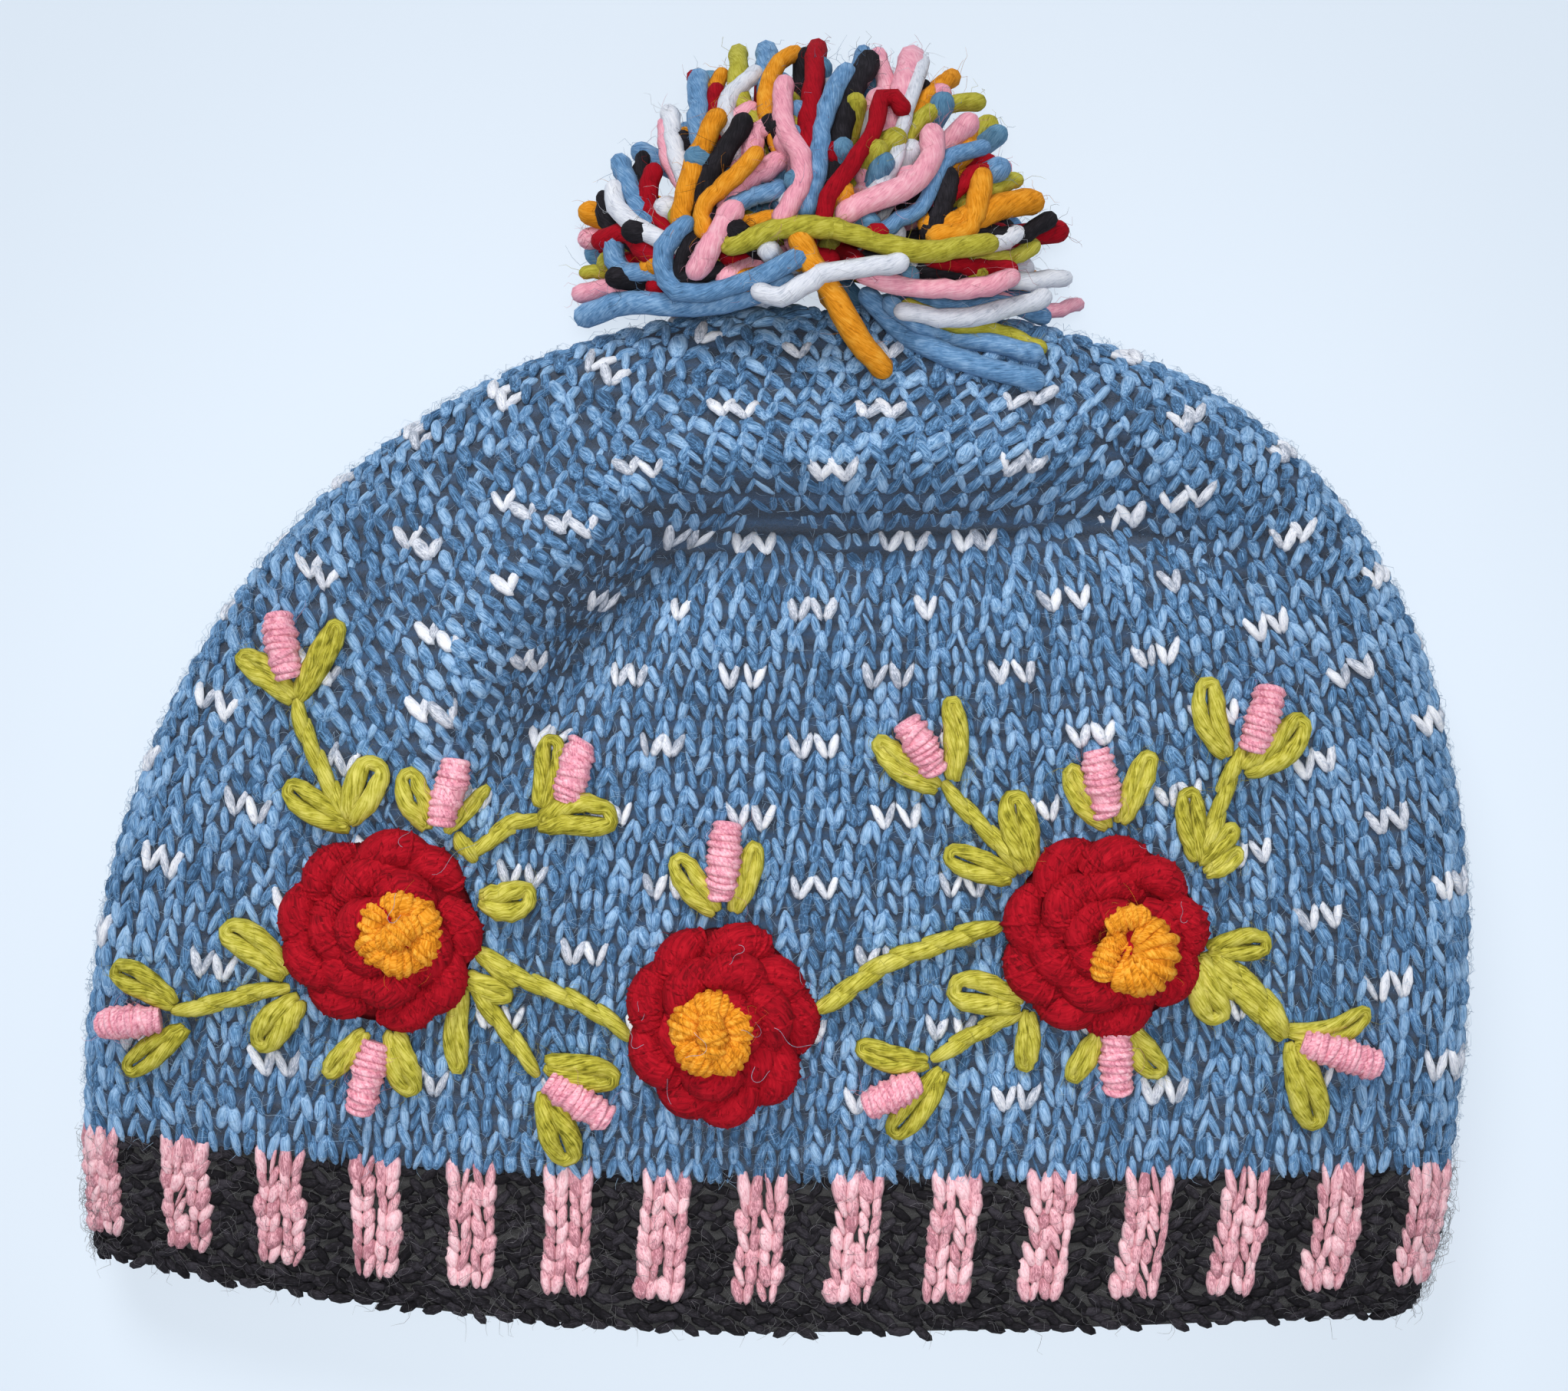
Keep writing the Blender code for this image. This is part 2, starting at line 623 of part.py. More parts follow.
def make_sprig(tree, name, leaves, stems, clear_of):
    """Leaves and stems joined into one laid sprig, trimmed clear of the buds and roses. Each
    later stitch lies LAYER_STEP higher, as it crosses the ones before it."""
    made = [(stem_solid, stem) for stem in stems] + [(leaf_solid, leaf) for leaf in leaves]
    parts = []
    for i, (make, values) in enumerate(made):
        points, faces = make(tree, i * LAYER_STEP, *values)
        parts.append(mesh_from(name if i == 0 else f"{name}_part_{i}", points, faces, "green wool"))
    sprig = parts[0]
    for part in parts[1:]:
        join = sprig.modifiers.new("Join", "BOOLEAN")
        join.operation = "UNION"
        join.solver = "EXACT"
        join.object = part
        part.hide_render = True
        part.display_type = "WIRE"
    low, high = bounds_of(parts)
    helpers = list(parts[1:])
    for piece in clear_of:
        piece_low, piece_high = bounds_of([piece])
        if all(piece_low[i] < high[i] and low[i] < piece_high[i] for i in range(2)):
            cutter = grown(piece, SEAM_GAP)
            helpers.append(cutter)
            trim = sprig.modifiers.new("Trim", "BOOLEAN")
            trim.operation = "DIFFERENCE"
            trim.solver = "EXACT"
            trim.object = cutter
    bpy.context.view_layer.update()
    graph = bpy.context.evaluated_depsgraph_get()
    shaped = bpy.data.meshes.new_from_object(sprig.evaluated_get(graph))
    sprig.modifiers.clear()
    bm = bmesh.new()
    bm.from_mesh(shaped)
    bmesh.ops.remove_doubles(bm, verts=bm.verts, dist=WELD)
    largest_body(bm)
    bm.to_mesh(shaped)
    bm.free()
    sprig.data = shaped
    for helper in helpers:
        bpy.data.objects.remove(helper, do_unlink=True)
    return sprig


def bounds_of(objects):
    corners = np.array([v.co for obj in objects for v in obj.data.vertices])
    return corners.min(axis=0), corners.max(axis=0)


def room_between(upper, lower):
    """How far a piece can move along -y before it meets another one."""
    room = []
    for moving, still, way in ((upper, tree_of(lower), -1), (lower, tree_of(upper), 1)):
        for vertex in moving.data.vertices:
            distance = still.ray_cast(vertex.co, Vector((0, way, 0)))[3]
            if distance is not None:
                room.append(distance)
    return min(room)


def make_pompom(body):
    """Yarn locks grown out of a round head, tied on at the crown."""
    chance = random.Random(7)
    crown = Row(1.0).point(0.0, True)
    middle = crown + Vector((0, POMPOM_HEAD_RADIUS + SEAT_OF_LOCKS, 0))
    bm = bmesh.new()
    bmesh.ops.create_cube(bm, size=1.0)
    bmesh.ops.subdivide_edges(bm, edges=bm.edges, cuts=2, use_grid_fill=True)
    for vertex in bm.verts:
        vertex.co = middle + vertex.co.normalized() * POMPOM_HEAD_RADIUS
    bm.normal_update()
    faces = list(bm.faces)
    bmesh.ops.inset_individual(bm, faces=faces, thickness=0.0004)
    for face in faces:
        out = (face.calc_center_median() - middle).normalized()
        if out.y < -0.6:
            continue
        reach = Vector((POMPOM_REACH_SIDE, POMPOM_REACH_UP, POMPOM_REACH_TOP))
        length = 1.0 / math.sqrt(sum((out[i] / reach[i]) ** 2 for i in range(3)))
        length *= chance.uniform(0.88, 1.06)
        tip = middle + out * length
        tip += Vector((chance.uniform(-1, 1), chance.uniform(0, 1), 0)) * 0.002
        tip.y = max(tip.y, crown.y + SEAT_OF_LOCKS)
        start = face.calc_center_median()
        for along, width in ((0.55, LOCK_WIDENING), (1.0, 0.8)):
            grown_face = bmesh.ops.extrude_discrete_faces(bm, faces=[face])["faces"][0]
            centre = grown_face.calc_center_median()
            target = start.lerp(tip, along)
            for vertex in grown_face.verts:
                vertex.co = target + (vertex.co - centre) * width
                vertex.co.z = max(vertex.co.z, POMPOM_FLOOR_GAP)
            face = grown_face
    mesh = bpy.data.meshes.new("pompom")
    bm.to_mesh(mesh)
    bm.free()
    mesh.materials.append(wool("mixed wool"))
    pompom = bpy.data.objects.new("pompom", mesh)
    bpy.context.scene.collection.objects.link(pompom)
    down = room_between(pompom, body) - SEAT_GAP
    for vertex in mesh.vertices:
        vertex.co.y -= down
    return pompom


def main():
    clear_scene()
    body = make_body()
    make_hem()
    body_tree = tree_of(body)
    flowers = [make_rose(body_tree, name, **values) for name, values in ROSES.items()]
    buds = [make_bud(body_tree, name, **values) for name, values in BUDS.items()]
    for name, values in SPRIGS.items():
        make_sprig(body_tree, name, clear_of=flowers + buds, **values)
    make_pompom(body)


main()
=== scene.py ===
import math

import bmesh
import bpy
import numpy as np
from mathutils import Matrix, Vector
from mathutils.bvhtree import BVHTree


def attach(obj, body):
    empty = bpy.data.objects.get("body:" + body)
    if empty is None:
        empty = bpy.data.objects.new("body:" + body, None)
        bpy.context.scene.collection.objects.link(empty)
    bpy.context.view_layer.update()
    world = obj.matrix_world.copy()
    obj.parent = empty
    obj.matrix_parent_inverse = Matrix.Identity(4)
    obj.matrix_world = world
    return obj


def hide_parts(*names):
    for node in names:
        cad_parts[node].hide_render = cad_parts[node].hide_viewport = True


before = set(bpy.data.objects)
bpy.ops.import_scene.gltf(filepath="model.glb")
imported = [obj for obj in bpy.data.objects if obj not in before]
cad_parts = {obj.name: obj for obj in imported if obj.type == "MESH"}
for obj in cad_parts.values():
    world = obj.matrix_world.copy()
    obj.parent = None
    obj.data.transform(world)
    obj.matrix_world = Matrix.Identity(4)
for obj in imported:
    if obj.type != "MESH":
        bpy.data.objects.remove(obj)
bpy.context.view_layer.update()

mm = 0.001


# Small helpers

def linear(hexColour):
    # an sRGB hex colour as the linear RGBA that shaders take
    parts = [int(hexColour[i:i + 2], 16) / 255 for i in (1, 3, 5)]
    return tuple(c / 12.92 if c <= 0.04045 else ((c + 0.055) / 1.055) ** 2.4 for c in parts) + (1.0,)


def addNode(tree, kind, links=None, **settings):
    # adds one node: settings are its own properties, links fill its sockets with values, sockets or nodes
    node = tree.nodes.new(kind)
    for key, value in settings.items():
        setattr(node, key, value)
    for key, value in (links or {}).items():
        value = value.outputs[0] if isinstance(value, bpy.types.Node) else value
        if isinstance(value, bpy.types.NodeSocket):
            tree.links.new(value, node.inputs[key])
        else:
            node.inputs[key].default_value = value
    return node


def unit(vectors):
    return vectors / np.maximum(np.linalg.norm(vectors, axis=-1, keepdims=True), 1e-12)


def walkedAlong(path):
    # distance walked to each point of a path
    return np.concatenate([[0], np.cumsum(np.linalg.norm(np.diff(path, axis=0), axis=1))])


def placesAt(path, walked, wanted):
    return np.stack([np.interp(wanted, walked, column) for column in path.T], axis=-1)


def link(name, data):
    thing = bpy.data.objects.new(name, data)
    bpy.context.scene.collection.objects.link(thing)
    return thing


def newMesh(name, points, faces, material=None):
    mesh = bpy.data.meshes.new(name)
    mesh.from_pydata(points, [], faces)
    if material:
        mesh.materials.append(material)
    return mesh


def ringFaces(rings, count, fans=()):
    # quads between rings of points, and fans of triangles from a ring to a point
    quads = [(r * count + i, r * count + (i + 1) % count, (r + 1) * count + (i + 1) % count, (r + 1) * count + i)
             for r in range(rings - 1) for i in range(count)]
    return quads + [(r * count + i, r * count + (i + 1) % count, tip) for r, tip in fans for i in range(count)]


def newMaterial(name, sockets):
    # a material whose shader has the given sockets set
    material = bpy.data.materials.new(name)
    material.use_nodes = True
    shader = material.node_tree.nodes["Principled BSDF"]
    for key, value in sockets.items():
        shader.inputs[key].default_value = value
    return material, material.node_tree, shader


def say(text):
    print("beanie:", text)


# Wool materials: every yarn here is soft, barely spun sheep's wool, so it is matt with a pale halo

woolLook = dict(roughness=0.92, sheen=0.30, sheenRoughness=0.55, specular=0.15, fibreWidth=0.13 * mm, fibreStretch=0.09,
                coarser=2.0, brushedCoarser=1.3, clumpSize=1.6 * mm, twistPerMm=0.20, bumpDepth=0.18 * mm,
                fibreShare=0.75, felting=0.35, toneSpread=0.20, stops=(0.51, 0.64, 0.80),
                 brushedStops=(0.40, 0.63, 0.92))
woolColours = {
    "blueWool": dict(shade="#304b68", body="#5c87b1", tip="#9fc0df"),
    "whiteWool": dict(shade="#8f98a8", body="#d3d6df", tip="#f0f1f4"),
    "charcoalWool": dict(shade="#121114", body="#1f1d21", tip="#39363c", sheen=0.12),
    "hemPinkWool": dict(shade="#a86c78", body="#dfa4ae", tip="#f4cfd4"),
    "budPinkWool": dict(shade="#bd6f83", body="#e89cad", tip="#f9ccd4", sheen=0.15),
    "redWool": dict(shade="#650610", body="#98081a", tip="#b41424", sheen=0.07),
    "yellowWool": dict(shade="#a05a0b", body="#dc8c1d", tip="#f2b346", sheen=0.10),
    "greenWool": dict(shade="#625e14", body="#aca436", tip="#d2c966", sheen=0.15),
    "paleBlueWool": dict(shade="#6f97bd", body="#a0c2e0", tip="#d8e6f4"),
    "greyWool": dict(shade="#3c3b3d", body="#6f6e71", tip="#b4b3b6"),
    "petrolWool": dict(shade="#2d4a68", body="#54809f", tip="#86adc6"),
}
materials = {}


def woolMaterial(name, brushed=False):
    # carded wool yarn: fibres run along the strand with a slack twist, and stray ones catch the light;
    # brushed ends are paler and more even, and both are drawn coarser than real fibres, so that they show
    key = name + ("Brushed" if brushed else "")
    if key in materials:
        return materials[key]
    colour, look = woolColours[name], woolLook
    material, tree, shader = newMaterial(key, {
        "Roughness": look["roughness"], "Sheen Weight": colour.get("sheen", look["sheen"]),
        "Sheen Roughness": look["sheenRoughness"], "Sheen Tint": linear(colour["tip"]),
        "Specular IOR Level": look["specular"]})
    grain = addNode(tree, "ShaderNodeAttribute", attribute_name="grain").outputs["Vector"]
    tone = addNode(tree, "ShaderNodeAttribute", attribute_name="tone").outputs["Fac"]
    along = addNode(tree, "ShaderNodeSeparateXYZ", {"Vector": grain}).outputs["Z"]
    turn = addNode(tree, "ShaderNodeMath", {0: along, 1: look["twistPerMm"] / mm}, operation="MULTIPLY")
    twisted = addNode(tree, "ShaderNodeVectorRotate", {"Vector": grain, "Angle": turn}, rotation_type="Z_AXIS")
    stretched = addNode(tree, "ShaderNodeVectorMath", {0: twisted, 1: (1, 1, look["fibreStretch"])},
                        operation="MULTIPLY")
    shift = addNode(tree, "ShaderNodeMath", {0: tone, 1: 37.0}, operation="MULTIPLY")  # new noise per strand
    fibreScale = 1 / look["fibreWidth"] / look["brushedCoarser" if brushed else "coarser"]
    fibres = addNode(tree, "ShaderNodeTexNoise", {
        "Vector": stretched, "W": shift, "Scale": fibreScale, "Detail": 3.0, "Roughness": 0.6}, noise_dimensions="4D")
    clumps = addNode(tree, "ShaderNodeTexNoise", {
        "Vector": grain, "W": shift, "Scale": 1 / look["clumpSize"], "Detail": 2.0}, noise_dimensions="4D")
    mixed = addNode(tree, "ShaderNodeMath", {0: clumps, 1: look["felting"]}, operation="MULTIPLY")
    level = addNode(tree, "ShaderNodeMath", {0: fibres, 1: look["fibreShare"], 2: mixed}, operation="MULTIPLY_ADD")
    level = addNode(tree, "ShaderNodeMath", {0: tone, 1: look["toneSpread"], 2: level}, operation="MULTIPLY_ADD")
    ramp = addNode(tree, "ShaderNodeValToRGB", {"Fac": level})
    stops = ramp.color_ramp.elements
    low, centre, high = look["brushedStops" if brushed else "stops"]
    stops[0].position, stops[0].color = low, linear(colour["shade"])
    stops[1].position, stops[1].color = high, linear(colour["tip"])
    stops.new(centre).color = linear(colour["body"])
    bump = addNode(tree, "ShaderNodeBump", {"Height": fibres, "Distance": look["bumpDepth"], "Strength": 0.9})
    tree.links.new(ramp.outputs["Color"], shader.inputs["Base Color"])
    tree.links.new(bump.outputs["Normal"], shader.inputs["Normal"])
    materials[key] = material
    return material


# the back's two colours are darker than the wool's own: painted shade for the gaps between stitches and the hat's
# inside
shadedGroundLook = dict(ridge=3.948 * mm, fibre=0.45 * mm, bumpDepth=0.7 * mm, roughness=0.95, sheen=0.2,
                  blue=("#0d1c2e", "#35577b"), charcoal=("#0d0d0e", "#2c2b2c"))


def shadedGroundMaterial(name, shadedColours):
    # the back of the knitting: purl ridges of the same wool, coloured darker than the yarn itself as painted shade in
    # the gaps between stitches and inside the hat
    look = shadedGroundLook
    material, tree, shader = newMaterial(name, {"Roughness": look["roughness"], "Sheen Weight": look["sheen"]})
    place = addNode(tree, "ShaderNodeTexCoord").outputs["Object"]
    rows = addNode(tree, "ShaderNodeTexWave", {
        "Vector": place, "Scale": math.pi / 10 / look["ridge"],  # this node has 20 radians a unit
        "Distortion": 2.0, "Detail": 2.0, "Detail Scale": 120.0}, bands_direction="Y")
    fibres = addNode(tree, "ShaderNodeTexNoise", {
        "Vector": place, "Scale": 1 / look["fibre"], "Detail": 4.0, "Roughness": 0.7})
    level = addNode(tree, "ShaderNodeMath", {0: rows.outputs["Fac"], 1: 0.4, 2: fibres}, operation="MULTIPLY_ADD")
    ramp = addNode(tree, "ShaderNodeValToRGB", {"Fac": level})
    for stop, place, colour in zip(ramp.color_ramp.elements, (0.35, 0.95), shadedColours):
        stop.position, stop.color = place, linear(colour)
    bump = addNode(tree, "ShaderNodeBump", {"Height": level, "Distance": look["bumpDepth"], "Strength": 1.0})
    tree.links.new(ramp.outputs["Color"], shader.inputs["Base Color"])
    tree.links.new(bump.outputs["Normal"], shader.inputs["Normal"])
    return material


# The hat's form, the same as the solid's: rows of knitting from the hem (-1) over the hem line (0) to the crown (1)

hat = dict(halfWidth=125 * mm, rise=156.5 * mm, hemLine=-59.9 * mm, hemDepth=27.8 * mm, wall=4.2 * mm, hemWall=4.6 * mm,
           lying=53 * mm, flattening=6 * mm, crownShift=7.2 * mm, drawIn=3.5 * mm, drawInShare=0.25,
           middleEase=1.08, bendLow=1.8, bendHigh=4.4, section=3.0, dome=8.0)
flanks = dict(
    left=dict(start=0.051, ease=1.6, taper=2.2, roundness=2.0, hemDrop=0.80, tuck=0.012, drawIn=0.0),
    right=dict(start=0.010, ease=1.5, taper=3.5, roundness=2.3, hemDrop=0.94, tuck=0.055, drawIn=1.0))
heights = ((-0.18, 0.50), (0.0, 0.56), (0.10, 0.66), (0.30, 0.74), (0.50, 0.80), (0.66, 0.92), (0.80, 1.0),
           (0.92, 0.98), (1.0, 0.94))  # share of the rise, and the height lying there as a share of the highest
foldSizes = dict(depth=16 * mm, width=8.5 * mm, shoulder=6.5 * mm, sharp=0.6)
folds = (  # across, up and depth, each as a share
    ((-0.43, 0.43, 0.10), (-0.36, 0.51, 0.65), (-0.27, 0.63, 1.0), (-0.16, 0.715, 1.0), (-0.03, 0.745, 0.90),
     (0.12, 0.735, 0.90), (0.46, 0.750, 0.60), (0.70, 0.700, 0.10)),
    ((0.42, 0.88, 0.10), (0.49, 0.80, 0.40), (0.56, 0.73, 0.20)))


def climb(share, ease):
    return 1 - (1 - share) ** ease


def spot(across, up):
    # x and y of a place given as shares of the half width and of the rise
    return np.array([across * hat["halfWidth"], hat["hemLine"] + up * hat["rise"]])


def besideFold(fold, x, y):
    # distance from a fold's line, the side of it (1 towards the crown) and the fold's depth there
    best = np.full_like(x, 9.0)
    side, depth = np.zeros_like(x), np.zeros_like(x)
    for (a1, u1, d1), (a2, u2, d2) in zip(fold, fold[1:]):
        (ax, ay), (bx, by) = spot(a1, u1), spot(a2, u2)
        along = np.clip(((x - ax) * (bx - ax) + (y - ay) * (by - ay)) / ((bx - ax) ** 2 + (by - ay) ** 2), 0, 1)
        gapX, gapY = x - ax - along * (bx - ax), y - ay - along * (by - ay)
        distance = np.hypot(gapX, gapY)
        closer = distance < best
        best = np.where(closer, distance, best)
        side = np.where(closer, np.sign((bx - ax) * gapY - (by - ay) * gapX), side)
        depth = np.where(closer, d1 + (d2 - d1) * along, depth)
    return best, side, depth


def relief(x, y):
    # how far the folds push the front up or down: a crease with a swelling on its upper side
    total = np.zeros_like(x)
    width, sharp = foldSizes["width"], foldSizes["sharp"]
    for fold in folds:
        best, side, depth = besideFold(fold, x, y)
        reach = width * np.where(side > 0, 0.75, 1.25)
        crease = (1 - sharp) * np.exp(-((best / reach) ** 2)) + sharp * np.exp(-1.6 * best / reach)
        total -= foldSizes["depth"] * depth * crease
        swelling = foldSizes["shoulder"] * depth * np.exp(-(((best - 1.6 * width) / width) ** 2))
        total += np.where(side > 0, swelling, 0)
    return total


def hatPoint(share, across, front, inset=0.0):
    share, across, front = np.broadcast_arrays(share, across, front)
    body, hem = np.clip(share, 0, 1), np.clip(-share, 0, 1)
    rise = hat["rise"] - inset
    level = np.where(share > 0, share, share * hat["hemDepth"] / hat["rise"])
    height = np.interp(level, *zip(*heights)) * hat["lying"]
    dome = np.sqrt(np.clip(1 - body ** hat["dome"], 0, 1))
    middleY = hat["hemLine"] + rise * climb(body, hat["middleEase"]) - hem * hat["hemDepth"]
    edges = []
    for flank in flanks.values():
        reached = climb(body, flank["ease"])
        width = (hat["halfWidth"] - inset) * np.clip(1 - reached ** flank["taper"], 0, 1) ** (1 / flank["roundness"])
        drawn = np.clip(1 - body / hat["drawInShare"], 0, 1) ** 2 * hat["drawIn"] * flank["drawIn"]
        low = hat["hemLine"] + flank["start"] * hat["rise"]
        edgeY = low + (hat["hemLine"] + rise - low) * reached - hem * hat["hemDepth"] * flank["hemDrop"]
        edges.append(((width - drawn) * (1 - flank["tuck"] * hem ** 2), edgeY))
    width = np.where(across < 0, edges[0][0], edges[1][0])
    edgeY = np.where(across < 0, edges[0][1], edges[1][1])
    bend = hat["bendLow"] + (hat["bendHigh"] - hat["bendLow"]) * body
    x = hat["crownShift"] * body ** 4 + across * width
    y = middleY + (edgeY - middleY) * np.abs(across) ** bend
    swell = np.clip(1 - np.abs(across) ** hat["section"], 0, 1) ** (1 / hat["section"]) * dome
    middle = height / 2
    z = np.where(front, middle + (middle - inset) * swell + relief(x, y) * swell,
                 middle - (middle + hat["flattening"] - inset) * swell)
    return np.stack([x, y, np.maximum(z, inset)], axis=-1)


def hatGrid(shares, columns, inset=0.0):
    # rows of points evenly spaced round the hat, from the right flank over the front; also each row's length
    angle = np.linspace(0, 2 * math.pi, 721)
    across = np.sign(np.cos(angle)) * np.abs(np.cos(angle)) ** (2 / hat["section"])
    outline = hatPoint(np.asarray(shares)[:, None], across[None, :], (np.sin(angle) >= 0)[None, :], inset)
    grid, lengths = [], []
    for row in outline:
        walked = walkedAlong(row)
        grid.append(placesAt(row, walked, np.linspace(0, walked[-1], columns + 1)))
        lengths.append(walked[-1])
    return np.array(grid), np.array(lengths)


class Skin:
    # a finely sampled stretch of the hat that stitches are placed on
    def __init__(self, low, high, rows=160, columns=960):
        self.low, self.high, self.rows, self.columns = low, high, rows, columns
        self.grid, self.lengths = hatGrid(np.linspace(low, high, rows), columns)

    def at(self, share, turn):
        row = np.clip((share - self.low) / (self.high - self.low), 0, 1) * (self.rows - 1)
        column = (turn % 1.0) * self.columns
        r = np.minimum(row.astype(int), self.rows - 2)
        c = np.minimum(column.astype(int), self.columns - 1)
        fr, fc = (row - r)[:, None], (column - c)[:, None]
        low = self.grid[r, c] * (1 - fc) + self.grid[r, c + 1] * fc
        high = self.grid[r + 1, c] * (1 - fc) + self.grid[r + 1, c + 1] * fc
        return low * (1 - fr) + high * fr

    def frames(self, share, turn, step):
        # place, unit vectors round, up and out, and the length of one step of share
        place = self.at(share, turn)
        around = unit(self.at(share, turn + 0.003) - self.at(share, turn - 0.003))
        low, high = np.maximum(share - step / 2, self.low), np.minimum(share + step / 2, self.high)
        climbVector = (self.at(high, turn) - self.at(low, turn)) * (step / (high - low))[:, None]
        length = np.linalg.norm(climbVector, axis=1)
        out = unit(np.cross(climbVector, around))
        up = unit(np.cross(around, out))
        return place, around, up, out, length


# Geometry Nodes: copies of one short yarn shape at every point, turned and sized by attributes

def newTree(name, sockets):
    tree = bpy.data.node_groups.new(name, "GeometryNodeTree")
    for way in ("INPUT", "OUTPUT"):
        tree.interface.new_socket("Geometry", in_out=way, socket_type="NodeSocketGeometry")
    for label, kind in sockets.items():
        tree.interface.new_socket(label, in_out="INPUT", socket_type="NodeSocket" + kind)
    return tree, tree.nodes.new("NodeGroupInput").outputs


def endTree(tree, geometry, material):
    solid = addNode(tree, "GeometryNodeRealizeInstances", {"Geometry": geometry})
    smooth = addNode(tree, "GeometryNodeSetShadeSmooth", {"Geometry": solid})
    painted = addNode(tree, "GeometryNodeSetMaterial", {"Geometry": smooth, "Material": material})
    addNode(tree, "NodeGroupOutput", {"Geometry": painted})
    return tree


def copiesTree(name, shape):
    # shape is "loop", a plump leg of a stitch along Z, or "wrap", one turn of yarn round Z
    tree, given = newTree(name, {"Sides": "Int", "Rings": "Int", "Yarn share": "Float", "Material": "Material"})
    place = addNode(tree, "GeometryNodeInputPosition")
    if shape == "loop":
        form = addNode(tree, "GeometryNodeMeshUVSphere", {
            "Segments": given["Sides"], "Rings": given["Rings"], "Radius": 0.5})
        level = addNode(tree, "ShaderNodeSeparateXYZ", {"Vector": place}).outputs["Z"]
        square = addNode(tree, "ShaderNodeMath", {0: level, 1: level}, operation="MULTIPLY")
        drop = addNode(tree, "ShaderNodeMath", {0: square, 1: -1.1}, operation="MULTIPLY")  # both ends dip
        dip = addNode(tree, "ShaderNodeCombineXYZ", {"Y": drop})
        form = addNode(tree, "GeometryNodeSetPosition", {"Geometry": form, "Offset": dip})
    else:
        ring = addNode(tree, "GeometryNodeCurvePrimitiveCircle", {"Resolution": given["Rings"], "Radius": 0.5})
        section = addNode(tree, "GeometryNodeCurvePrimitiveCircle", {
            "Resolution": given["Sides"], "Radius": given["Yarn share"]})
        form = addNode(tree, "GeometryNodeCurveToMesh", {"Curve": ring, "Profile Curve": section})
    local = addNode(tree, "ShaderNodeVectorMath", {0: place, 1: (3 * mm, 3 * mm, 5 * mm)}, operation="MULTIPLY")
    marked = addNode(tree, "GeometryNodeStoreNamedAttribute", {
        "Geometry": form, "Name": "grain", "Value": local}, data_type="FLOAT_VECTOR", domain="POINT")
    turn = addNode(tree, "GeometryNodeInputNamedAttribute", {"Name": "turn"}, data_type="FLOAT_VECTOR")
    size = addNode(tree, "GeometryNodeInputNamedAttribute", {"Name": "size"}, data_type="FLOAT_VECTOR")
    facing = addNode(tree, "FunctionNodeEulerToRotation", {"Euler": turn.outputs["Attribute"]})
    copies = addNode(tree, "GeometryNodeInstanceOnPoints", {
        "Points": given["Geometry"], "Instance": marked, "Rotation": facing, "Scale": size.outputs["Attribute"]})
    return endTree(tree, copies, given["Material"])


def strandTree(name):
    # sweeps a round yarn along curves, thick where the curve's radius is large
    tree, given = newTree(name, {"Sides": "Int", "Seed": "Int", "Material": "Material"})
    length = addNode(tree, "GeometryNodeSplineParameter").outputs["Length"]
    tone = addNode(tree, "FunctionNodeRandomValue", {2: 0.34, 3: 0.66, "Seed": given["Seed"]}, data_type="FLOAT")
    toned = addNode(tree, "GeometryNodeStoreNamedAttribute", {
        "Geometry": given["Geometry"], "Name": "tone", "Value": tone.outputs[1]}, data_type="FLOAT", domain="CURVE")
    measured = addNode(tree, "GeometryNodeStoreNamedAttribute", {
        "Geometry": toned, "Name": "alongYarn", "Value": length}, data_type="FLOAT", domain="POINT")
    circle = addNode(tree, "GeometryNodeCurvePrimitiveCircle", {"Resolution": given["Sides"], "Radius": 1.0})
    section = addNode(tree, "GeometryNodeStoreNamedAttribute", {
        "Geometry": circle, "Name": "roundYarn", "Value": addNode(tree, "GeometryNodeInputPosition")},
        data_type="FLOAT_VECTOR", domain="POINT")
    tube = addNode(tree, "GeometryNodeCurveToMesh", {
        "Curve": measured, "Profile Curve": section, "Scale": addNode(tree, "GeometryNodeInputRadius"),
        "Fill Caps": True})
    along = addNode(tree, "GeometryNodeInputNamedAttribute", {"Name": "alongYarn"}, data_type="FLOAT")
    around = addNode(tree, "GeometryNodeInputNamedAttribute", {"Name": "roundYarn"}, data_type="FLOAT_VECTOR")
    depth = addNode(tree, "ShaderNodeCombineXYZ", {"Z": along.outputs["Attribute"]})
    local = addNode(tree, "ShaderNodeVectorMath", {
        0: around.outputs["Attribute"], 1: (1.5 * mm, 1.5 * mm, 0), 2: depth}, operation="MULTIPLY_ADD")
    marked = addNode(tree, "GeometryNodeStoreNamedAttribute", {
        "Geometry": tube, "Name": "grain", "Value": local}, data_type="FLOAT_VECTOR", domain="POINT")
    return endTree(tree, marked, given["Material"])


def grown(source, tree, values, name):
    # runs a node tree on an object and returns the result as a plain mesh piece
    modifier = source.modifiers.new("Yarn", "NODES")
    modifier.node_group = tree
    for item in tree.interface.items_tree:
        if item.in_out == "INPUT" and item.name in values:
            modifier[item.identifier] = values[item.name]
    bpy.context.view_layer.update()
    made = source.evaluated_get(bpy.context.evaluated_depsgraph_get())
    mesh = bpy.data.meshes.new_from_object(made)
    piece = link(name, mesh)
    bpy.data.objects.remove(source, do_unlink=True)
    if not mesh.materials:
        mesh.materials.append(values["Material"])
    points = np.empty(len(mesh.vertices) * 3, np.float32)
    mesh.vertices.foreach_get("co", points)
    points[2::3] = np.maximum(points[2::3], 0.05 * mm)  # what lies underneath is pressed flat by the table
    mesh.vertices.foreach_set("co", points)
    return piece


def settle(piece, slot, *nodes):
    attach(piece, "root")
    if nodes:
        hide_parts(*nodes)
    say(f"{piece.name}: {len(piece.data.polygons)} faces")
    return piece


